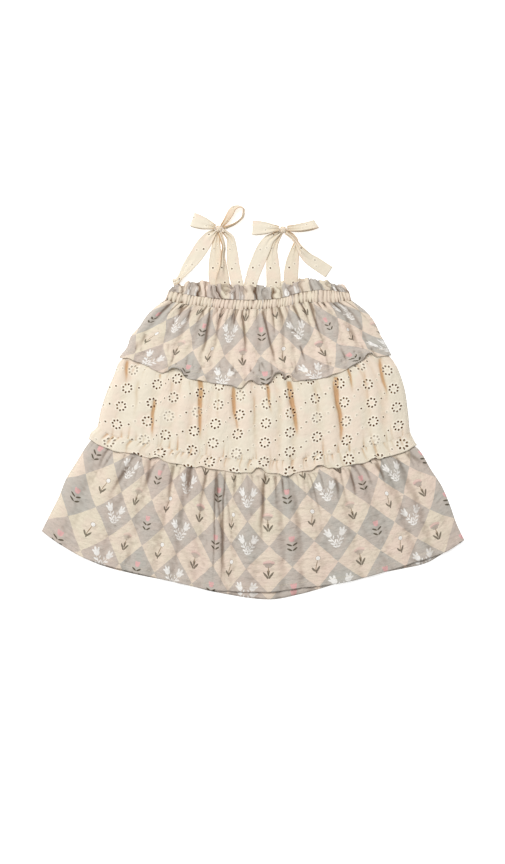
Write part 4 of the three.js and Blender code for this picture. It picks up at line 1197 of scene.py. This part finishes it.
class DressSettings(bpy.types.PropertyGroup):
    """Sizes and colours of the dress."""

    cloth_thickness: distance("Cloth thickness", "Thickness of the printed and the eyelet cloth", 0.8)
    ribbon_thickness: distance("Ribbon thickness", "Thickness of the tied ribbons", 0.9)
    ribbon_width: distance("Ribbon width", "Flat width of the tied ribbons", 20)
    stitch_length: distance("Stitch length", "Length of one stitch of the seams", 2.6)
    thread_thickness: distance("Thread thickness", "Thickness of the sewing thread", 0.45)
    diamond_width: distance("Diamond width", "Width of one diamond of the print", 58)
    diamond_height: distance("Diamond height", "Height of one diamond of the print", 66)
    cream: paint("Cream", "Light diamonds", 236, 225, 203)
    cream_warm: paint("Warm cream", "Peach patches of the light diamonds", 240, 219, 203)
    grey_cool: paint("Cool grey", "Bluest of the grey diamonds", 196, 192, 183)
    grey_warm: paint("Warm grey", "Warmest of the grey diamonds", 213, 197, 185)
    pink: paint("Pink", "Tulip heads", 236, 186, 183)
    taupe: paint("Taupe", "Cups of the pink flowers on cream", 150, 138, 132)
    leaf: paint("Leaf", "Leaves and stems", 86, 77, 58)
    stem_and_hole_shade: paint("Stem", "Thin stems and rings", 146, 120, 88)
    white: paint("White", "White flowers of the grey diamonds", 254, 251, 246)
    eyelet: paint("Eyelet cotton", "Cream of the eyelet cloth and ribbons", 236, 226, 207)
    eyelet_warm: paint("Warm eyelet cotton", "Warmest patches of the eyelet cloth", 239, 223, 205)
    thread: paint("Thread", "Embroidery and sewing thread", 252, 244, 227)
    hole: paint("Hole", "Shadow seen through the eyelets", 88, 50, 6)
    muslin_crease_shade: paint("Muslin crease", "Tint deep in the printed folds", 122, 98, 76)
    cotton_crease_shade: paint("Cotton crease", "Tint deep in the eyelet folds", 206, 160, 96)
    cotton_shallow_shade: paint("Soft cotton crease", "Tint of the eyelet cloth's shallow hollows", 206, 184, 150)
    crease_shade_strength: bpy.props.FloatProperty(
        name="Crease strength",
        description="How strongly the folds are tinted",
        default=0.75,
        min=0.0,
        max=1.0,
        subtype="FACTOR",
    )


def settings():
    """The sizes and colours in the scene."""
    return bpy.context.scene.sun_dress


def bodice_tier():
    return Tier(
        BODICE_TOP, BODICE_EDGE, BODICE_LEFT, BODICE_RIGHT,
        rest=BODICE_REST, loft=BODICE_LOFT, wave=BODICE_WAVE,
        folds=BODICE_FOLDS, creases=BODICE_CREASES, ripples=BODICE_RIPPLES, gathered=BODICE_GATHERED,
        waves=18, seam=0.83, print_rise=BODICE_PRINT_RISE, fan=BODICE_FAN,
        crimp=1.06, crinkle=0.34, pinch=0.4, seed=51,
        columns=columns_of(BODICE_COLUMNS, settings().diamond_width / MM),
    )


def middle_tier(shift=(0.0, 0.0)):
    return Tier(
        MIDDLE_TOP, MIDDLE_EDGE, MIDDLE_LEFT, MIDDLE_RIGHT,
        rest=MIDDLE_REST, loft=MIDDLE_LOFT, wave=MIDDLE_WAVE,
        folds=MIDDLE_FOLDS, creases=MIDDLE_CREASES, ripples=MIDDLE_RIPPLES, gathered=MIDDLE_GATHERED,
        waves=14, seam=0.87, print_rise=MIDDLE_PRINT_RISE, shift=shift, crinkle=0.18, seed=61,
        line_share=0.85, pleat_shade=0.4, hollow_shade=0.42,
        columns=eyelet_columns(EYELET_PITCH[0], MIDDLE_WIDTH),
    )


def skirt_tier(hem):
    return Tier(
        SKIRT_TOP, hem, SKIRT_LEFT, SKIRT_RIGHT,
        rest=SKIRT_REST, loft=SKIRT_LOFT, wave=SKIRT_WAVE,
        folds=SKIRT_FOLDS, creases=SKIRT_CREASES, gathered=SKIRT_GATHERED,
        waves=16, print_rise=SKIRT_PRINT_RISE, crinkle=0.4, seed=71, fold_shade=0.58, pleat_shade=0.52,
        columns=columns_of(SKIRT_COLUMNS, settings().diamond_width / MM),
    )


def build_panel(name, tier, side, cells, hem, material):
    """One panel of a tier, front or back, with its hem turned up and pressed by its stitching."""
    thick = settings().cloth_thickness / MM
    s, t = grid(*cells)
    middle, crease_shade = getattr(tier, side)(s, t, thick)
    across, along = tier.cloth(s, t)
    from_edge = tier.from_edge(s, t)
    wall = thick * (1 + HEM_EXTRA * smooth(from_edge, hem + HEM_STEP, hem - HEM_STEP))
    wall = wall + bell(from_edge, *HEM_ROUND)
    middle[..., 2] -= bell(from_edge - hem, *HEM_DENT)
    middle[..., 2] = np.maximum(middle[..., 2], wall / 2 + CLEAR)
    inset = tier.place(s, t)[2]
    # Painted shade in the hollows, away from the panel's sides
    crease_shade = crease_shade + tier.hollow_shade * hollows(middle[..., 2]) * smooth(inset, *HOLLOW_INSET)
    # Painted shade along the free edge of the hem
    crease_shade = np.minimum(crease_shade + bell(from_edge, *HEM_EDGE_SHADE), 1)
    piece = shell(f"{name}_cloth", middle, np.stack([across, along], -1), wall, crease_shade)
    return finish_piece(piece, name, material)


def build_line(name, tier, side, above_edge, material, lift=0.0):
    """A line of stitches across a panel, some millimetres above its edge."""
    look = settings()
    thick = look.cloth_thickness / MM
    step = look.stitch_length / MM * STITCH_STEP
    width = tier.place(np.array([0.5]), np.array([1.0]))[2][0] * 2
    s = np.linspace(SIDE_MARGIN, 1 - SIDE_MARGIN, int(width * (1 - 2 * SIDE_MARGIN) / step))
    t = 1 - above_edge / tier.length(s)

    def surface(at_s, at_t):
        return getattr(tier, side)(at_s, at_t, thick)[0]

    places, axes = surface_frames(surface, s, t)
    places = places + axes[:, 2] * (thick * 0.5 + lift)
    bar = stitch(look.stitch_length / MM, look.thread_thickness / MM)
    verts, faces = repeat(*bar, places, axes)
    piece = make_mesh(name, verts, faces, verts[:, :2])
    return finish_piece(piece, None, material)


def build_rims(name, surface, places, lift, material):
    """Stitched rims round the eyelets at cloth places."""
    here, axes = cloth_frames(surface, places[:, 0], places[:, 1])
    verts, faces = repeat(*ring(HOLE_RADIUS, RIM_TUBE), here + axes[:, 2] * lift, axes)
    verts[:, 2] = np.maximum(verts[:, 2], 0)
    piece = make_mesh(name, verts, faces, verts[:, :2])
    return finish_piece(piece, None, material)


class Neckline:
    """The elastic casing and the frill above it, which carry on the bodice's cloth."""

    def __init__(self):
        self.bodice = bodice_tier()

    def uneven(self, s):
        """Shares across, pushed a little out of step."""
        return s + 0.011 * np.sin(17.3 * s + 2) + 0.0045 * np.sin(47.1 * s) + 0.002 * np.sin(101 * s)

    def cloth(self, s, t, row, height):
        """Cloth coordinates of a strip, round a row of the print's diamonds."""
        along = row * settings().diamond_height / MM + (0.5 - t) * height
        return np.stack([self.bodice.columns(s), along], -1)

    def casing(self, s, t):
        """Top of the casing: soft ribs with sharp valleys between them."""
        lean = 0.009 * noise(s * 31, t * 1.4, 81)
        rib = np.abs(np.sin(np.pi * RIBS * (self.uneven(s) + lean * t)))
        size = 0.6 + 0.4 * noise(s * RIBS * 0.7, t * 0.8, 82)
        low = curve(BODICE_TOP, s) - SEAM_OVERLAP
        high = curve(CASING_TOP, s) + SEAM_OVERLAP
        x = curve(CASING_LEFT, t) + (curve(CASING_RIGHT, t) - curve(CASING_LEFT, t)) * s
        puff = np.sin(np.pi * (0.2 + 0.6 * t)) * (1 + 0.18 * noise(s * 33, t * 2.3, 86))
        z = OVER_ONE + CASING_PUFF * puff * (0.5 + 0.5 * rib**0.6 * size)
        y = high + (low - high) * t
        # Painted shade in the valleys between the ribs, stronger near the seams and uneven from rib to rib
        near_seams = 0.35 + 0.95 * np.abs(2 * t - 1) ** 1.6
        own = 0.75 + 0.9 * noise(np.floor(RIBS * self.uneven(s)) * 5.1, t * 2.2, 92)
        return np.stack([x, y, z], -1), 1.8 * (1 - rib**0.5) * near_seams * own

    def heading(self, s, t):
        """Middle of the frill: pleats that lean over their valleys."""
        free = 1 - t
        lean = 0.02 * noise(s * 13, t * 0.6, 85) + bell(s - 0.28, 0.09, 0.03)
        phase = PLEATS * (self.uneven(s + lean * free) + 0.018 * noise(s * 17, s * 0, 87))
        phase = phase + 0.3 * noise(s * 38, t * 2.6, 91)
        wave = np.abs(np.sin(np.pi * phase)) ** 0.7
        spread = curve(HEADING_RIGHT, t) - curve(HEADING_LEFT, t)
        overlap = spread / PLEATS * 0.13 * np.sin(4 * np.pi * phase) * (0.4 + 0.6 * free)
        x = curve(HEADING_LEFT, t) + spread * s + overlap * np.sin(np.pi * np.clip(s, 0, 1)) ** 0.25
        low = curve(CASING_TOP, s) + SEAM_GAP
        high = curve(HEADING_TOP, s) + FRILL_UNEVEN * noise(s * 31, s * 0, 88)
        y = high + (low - high) * t + free * (wave - 0.6) * FRILL_SWAY
        tall = FRILL_PUFF * (0.3 + 0.7 * free) * (0.62 + 0.5 * noise(s * 15, s * 0, 83))
        z = 3.5 + 1.8 * free + tall * wave + 0.4 * noise(s * 60, t * 3, 84)
        # Painted shade in the valleys between the pleats and along fine creases
        fine = (1 - np.abs(np.sin(np.pi * (2.3 * phase + 0.3)))) ** 3
        fine = fine * smooth(noise(s * 11, t, 89), 0, 0.4)
        deep = 0.7 + 0.5 * noise(np.round(phase) * 7.3, s * 0, 90)
        return np.stack([x, y, z], -1), 1.9 * (1 - wave) ** 2.1 * (0.7 + 0.5 * t) * deep + 0.8 * fine


def tube(name, top, cloth, floor, crease_shade):
    """A closed puffed tube: a grid of top points over a flat underside at a height."""
    cols = top.shape[1]
    low = top[1:-1][::-1].copy()
    low[..., 2] = floor
    low[..., 1] = low[..., 1] * 0.8 + low[..., 1].mean(0) * 0.2
    wall = np.concatenate([top, low])
    count = len(wall)
    at = np.arange(count * cols).reshape(count, cols)
    after = np.roll(at, -1, axis=0)
    faces = np.stack([at[:, :-1], after[:, :-1], after[:, 1:], at[:, 1:]], -1).reshape(-1, 4)
    flat = np.concatenate([cloth, cloth[1:-1][::-1]])
    deep = np.clip(np.concatenate([crease_shade, crease_shade[1:-1][::-1] * 0]), 0, DEEPEST).ravel()
    piece = make_mesh(name, wall.reshape(-1, 3), faces, flat.reshape(-1, 2), deep)
    shape = bmesh.new()
    shape.from_mesh(piece.data)
    bmesh.ops.holes_fill(shape, edges=[e for e in shape.edges if e.is_boundary], sides=0)
    shape.to_mesh(piece.data)
    shape.free()
    piece.data.shade_smooth()
    return piece


class BuildBodice(bpy.types.Operator):
    """Build the gathered bodice with its flounce, front and back"""

    bl_idname = "sundress.bodice"
    bl_label = "Bodice"

    def execute(self, context):
        look = settings()
        cloth = muslin(look)
        cotton = thread("Print thread", look.cream)
        tier = bodice_tier()
        front = build_panel("bodice_front", tier, "front", (320, 100), FLOUNCE_HEM, cloth)
        line = build_line("bodice_topstitch", tier, "front", FLOUNCE_HEM, cotton)
        back = build_panel("bodice_back", tier, "back", (170, 50), FLOUNCE_HEM, cloth)
        return {"FINISHED"}


class BuildMiddleTier(bpy.types.Operator):
    """Build the eyelet tier with its rosettes' stitched rims, front and back"""

    bl_idname = "sundress.middle_tier"
    bl_label = "Middle tier"

    def execute(self, context):
        look = settings()
        cloth = eyelet_cotton(look)
        cotton = thread("Eyelet thread", look.thread)
        thick = look.cloth_thickness / MM
        made = {}
        for side, cells, shift in (("front", (340, 110), (0, 0)), ("back", (170, 60), BACK_SHIFT)):
            tier = middle_tier(shift)
            panel = build_panel(f"middle_{side}", tier, side, cells, RUFFLE_HEM, cloth)

            def surface(across, along, side=side, tier=tier):
                s, t = tier.find(across, along)
                return getattr(tier, side)(s, t, thick)[0]

            places = eyelet_places(EYELETS_ACROSS, EYELETS_ALONG)
            s, t = tier.find(places[:, 0], places[:, 1])
            places = places[(s > SIDE_MARGIN) & (s < 1 - SIDE_MARGIN) & (t > 0.02) & (t < 0.975)]
            lift = thick * 0.5 if side == "front" else -thick * 0.5 + 0.1
            rims = build_rims(f"middle_{side}_rims", surface, places, lift, cotton)
            made[side] = panel, rims
        tier = middle_tier()
        lines = [
            build_line(f"middle_shirring_{k}", tier, "front", above, cotton, -0.1)
            for k, above in enumerate(SHIRRING)
        ]
        lines.append(build_line("middle_hem_stitch", tier, "front", RUFFLE_HEM, cotton))
        front, rims = made["front"]
        return {"FINISHED"}


class BuildSkirt(bpy.types.Operator):
    """Build the flared skirt with its hem, front and back"""

    bl_idname = "sundress.skirt"
    bl_label = "Skirt"

    def execute(self, context):
        look = settings()
        cloth = muslin(look)
        cotton = thread("Print thread", look.cream)
        tier = skirt_tier(FRONT_HEM)
        front = build_panel("skirt_front", tier, "front", (360, 120), SKIRT_HEM, cloth)
        line = build_line("skirt_hem_stitch", tier, "front", SKIRT_HEM, cotton)
        lower = skirt_tier(BACK_HEM)
        back = build_panel("skirt_back", lower, "back", (180, 60), SKIRT_HEM, cloth)
        return {"FINISHED"}


class BuildNeckline(bpy.types.Operator):
    """Build the elastic casing and the frill above it, front and back"""

    bl_idname = "sundress.neckline"
    bl_label = "Neckline"

    def execute(self, context):
        look = settings()
        cloth = muslin(look)
        thick = look.cloth_thickness / MM
        neck = Neckline()

        s, t = grid(540, 12)
        top, crease_shade = neck.casing(s, t)
        casing = tube("casing_front_cloth", top, neck.cloth(s, t, *CASING_PRINT), OVER_ONE, crease_shade)
        s, t = grid(480, 14)
        middle, crease_shade = neck.heading(s, t)
        heading = shell("heading_front_cloth", middle, neck.cloth(s, t, *HEADING_PRINT), thick, crease_shade)

        s, t = grid(240, 6)
        top, crease_shade = neck.casing(s, t)
        top[..., 2] = BACK_REST + (top[..., 2] - OVER_ONE) * BACK_CASING_PUFF
        under = shell("casing_back_cloth", top, neck.cloth(s, t, *CASING_PRINT), thick, crease_shade)
        middle, crease_shade = neck.heading(s, t)
        middle[..., 2] = BACK_REST + (middle[..., 2] - FRILL_MIDDLE) * BACK_FRILL_PUFF
        middle[..., 2] = np.maximum(middle[..., 2], thick / 2 + CLEAR)
        middle[..., 1] += FRILL_SHOWS * (1 - t)
        frill = shell("heading_back_cloth", middle, neck.cloth(s, t, *HEADING_PRINT), thick, crease_shade)

        for piece in (casing, heading, under, frill):
            finish_piece(piece, piece.name.removesuffix("_cloth"), cloth)
        return {"FINISHED"}


def build_ribbon(node, is_loop):
    """One ribbon with the stitched rims of its eyelets."""
    look = settings()
    cloth = eyelet_cotton(look)
    cotton = thread("Eyelet thread", look.thread)
    thick = look.ribbon_thickness / MM
    ribbon = Ribbon([Bend(*row) for row in RIBBONS[node]], is_loop, look.ribbon_width / MM)
    reach = ribbon.along[-1]
    a, b = grid(RIBBON_CELLS, int(reach / RIBBON_CELL))
    middle = ribbon.surface(a, b)
    wide = ribbon.at(ribbon.wide, b)
    # Painted shade in the valleys of the pleats where the ribbon is narrowed, along its edges, and over
    # ribbons that lie in shade
    valley = 0.35 + 0.35 * np.cos(2 * np.pi * RIBBON_PLEATS * a + RIBBON_DRIFT * b + np.pi)
    from_edge = np.minimum(a, 1 - a) * wide
    crease_shade = np.clip(smooth(wide, 14, 5) * valley, 0, 1) + bell(from_edge, *RIBBON_EDGE_SHADE)
    crease_shade = crease_shade + RIBBON_SHADE.get(node, 0)
    piece = shell(f"{node}_cloth", middle, np.stack(ribbon.cloth(a, b), -1), thick, crease_shade)
    finish_piece(piece, node, cloth)
    centre = EYELET_PITCH[0] * 0.5
    first, last = RIBBON_BARE
    across = (centre - RIBBON_EYELETS, centre + RIBBON_EYELETS)
    places = eyelet_places(across, (first, reach - last))
    if len(places):
        for side, lift in (("top", 0.5), ("under", -0.5)):
            name = f"{node}_rims_{side}"
            build_rims(name, ribbon.by_cloth, places, thick * lift, cotton)


class BuildStraps(bpy.types.Operator):
    """Build the shoulder straps and the free ends of the tied ribbons"""

    bl_idname = "sundress.straps"
    bl_label = "Straps and tails"

    def execute(self, context):
        for node in RIBBONS:
            if not node.startswith("loop"):
                build_ribbon(node, False)
        return {"FINISHED"}


class BuildBows(bpy.types.Operator):
    """Build the bows' loops and their knots"""

    bl_idname = "sundress.bows"
    bl_label = "Bows"

    def execute(self, context):
        cloth = eyelet_cotton(settings())
        for node in RIBBONS:
            if node.startswith("loop"):
                build_ribbon(node, True)
        for node, centre in KNOTS.items():
            turn, rise = grid(48, 28)
            lon = 2 * np.pi * turn
            lat = np.pi * (rise - 0.5)
            fold = np.abs(np.sin(KNOT_GROOVES / 2 * lon + 1.2 * np.sin(lat)))
            radius = 1 - KNOT_GROOVE * (1 - fold**0.6) * np.cos(lat)
            half = np.array(KNOT_SIZE) / 2
            x = centre[0] + half[0] * radius * np.cos(lat) * np.cos(lon)
            y = centre[1] + half[1] * radius * np.cos(lat) * np.sin(lon)
            z = half[2] * (1 + radius * np.sin(lat) * 0.98)
            laid = np.stack([EYELET_PITCH[0] * 0.5 + lon * 1.2, EYELET_PITCH[1] * 0.75 + lat * 3], -1)
            # Painted shade in the grooves of the knot
            piece = ball(f"{node}_cloth", np.stack([x, y, z], -1), laid, (1 - fold) ** 2)
            finish_piece(piece, node, cloth)
        return {"FINISHED"}


def ball(name, points, cloth, crease_shade):
    """A closed ball from a grid of points whose first and last rows are its poles."""
    rows, cols = points.shape[:2]
    inner = points[1:-1, :-1].reshape(-1, 3)
    verts = np.concatenate([points[:1, 0], inner, points[-1:, 0]])
    flat = np.concatenate([cloth[:1, 0], cloth[1:-1, :-1].reshape(-1, 2), cloth[-1:, 0]])
    deep = np.concatenate([crease_shade[:1, 0], crease_shade[1:-1, :-1].ravel(), crease_shade[-1:, 0]])
    around = cols - 1
    at = 1 + np.arange((rows - 2) * around).reshape(rows - 2, around)
    after = np.roll(at, -1, axis=1)
    sides = np.stack([at[:-1], after[:-1], after[1:], at[1:]], -1).reshape(-1, 4).tolist()
    first = [(0, b, a) for a, b in zip(at[0].tolist(), after[0].tolist())]
    pole = len(verts) - 1
    last = [(pole, a, b) for a, b in zip(at[-1].tolist(), after[-1].tolist())]
    return make_mesh(name, verts, sides + first + last, flat, np.clip(deep, 0, 1))


# The stage, in metres: half the table's side, how far it lies below the dress, the lamp and the camera
TABLE_HALF = 12.0
TABLE_BELOW = 0.0001
LAMP_PLACE = (-0.55, 0.85, 1.92)
CAMERA_PLACE = (-0.0007, -0.04165, 2.856)


class BuildStage(bpy.types.Operator):
    """Build the white table, the soft light and the camera above the dress"""

    bl_idname = "sundress.stage"
    bl_label = "Stage"

    def execute(self, context):
        scene = context.scene
        floor_mesh = bpy.data.meshes.new("floor")
        corners = [(x * TABLE_HALF, y * TABLE_HALF, 0) for x, y in ((-1, -1), (1, -1), (1, 1), (-1, 1))]
        floor_mesh.from_pydata(corners, [], [(0, 1, 2, 3)])
        floor = bpy.data.objects.new("floor", floor_mesh)
        floor.location.z = -TABLE_BELOW
        scene.collection.objects.link(floor)
        white = Shader("White table")
        white.put(Base_Color=(0.9, 0.9, 0.9, 1), Roughness=0.9, Specular_IOR_Level=0.0)
        white.put(Emission_Color=(1, 1, 1, 1), Emission_Strength=0.55)
        floor_mesh.materials.append(white.material)

        world = bpy.data.worlds.new("Soft white")
        world.use_nodes = True
        sky = world.node_tree.nodes["Background"]
        sky.inputs["Color"].default_value = (1, 0.995, 0.985, 1)
        sky.inputs["Strength"].default_value = 0.4
        scene.world = world

        lamp_data = bpy.data.lights.new("Window", "AREA")
        lamp_data.shape = "DISK"
        lamp_data.size = 1.1
        lamp_data.energy = 34
        lamp = bpy.data.objects.new("Window", lamp_data)
        lamp.location = LAMP_PLACE
        aim = Vector((0, 0, 0)) - lamp.location
        lamp.rotation_euler = aim.to_track_quat("-Z", "Y").to_euler()
        scene.collection.objects.link(lamp)

        lens = bpy.data.cameras.new("Camera")
        lens.lens = 85
        lens.sensor_width = lens.sensor_height = 36
        lens.sensor_fit = "VERTICAL"
        camera = bpy.data.objects.new("Camera", lens)
        camera.location = CAMERA_PLACE
        scene.collection.objects.link(camera)
        scene.camera = camera
        scene.view_settings.view_transform = "Standard"
        return {"FINISHED"}


class DressPanel(bpy.types.Panel):
    """Lists the dress's sizes, colours and pieces"""

    bl_label = "Sun Dress"
    bl_idname = "VIEW3D_PT_sun_dress"
    bl_space_type = "VIEW_3D"
    bl_region_type = "UI"
    bl_category = "Sun Dress"

    def draw(self, context):
        look = context.scene.sun_dress
        for name in DressSettings.__annotations__:
            self.layout.prop(look, name)
        for operator in OPERATORS:
            self.layout.operator(operator.bl_idname)


OPERATORS = (
    BuildBodice,
    BuildMiddleTier,
    BuildSkirt,
    BuildNeckline,
    BuildStraps,
    BuildBows,
    BuildStage,
)


def register():
    for kind in (DressSettings, *OPERATORS, DressPanel):
        bpy.utils.register_class(kind)
    bpy.types.Scene.sun_dress = bpy.props.PointerProperty(type=DressSettings)


def unregister():
    del bpy.types.Scene.sun_dress
    for kind in reversed((DressSettings, *OPERATORS, DressPanel)):
        bpy.utils.unregister_class(kind)


def main():
    register()
    bpy.ops.sundress.bodice()
    bpy.ops.sundress.middle_tier()
    bpy.ops.sundress.skirt()
    bpy.ops.sundress.neckline()
    bpy.ops.sundress.straps()
    bpy.ops.sundress.bows()
    bpy.ops.sundress.stage()


if __name__ == "__main__":
    main()
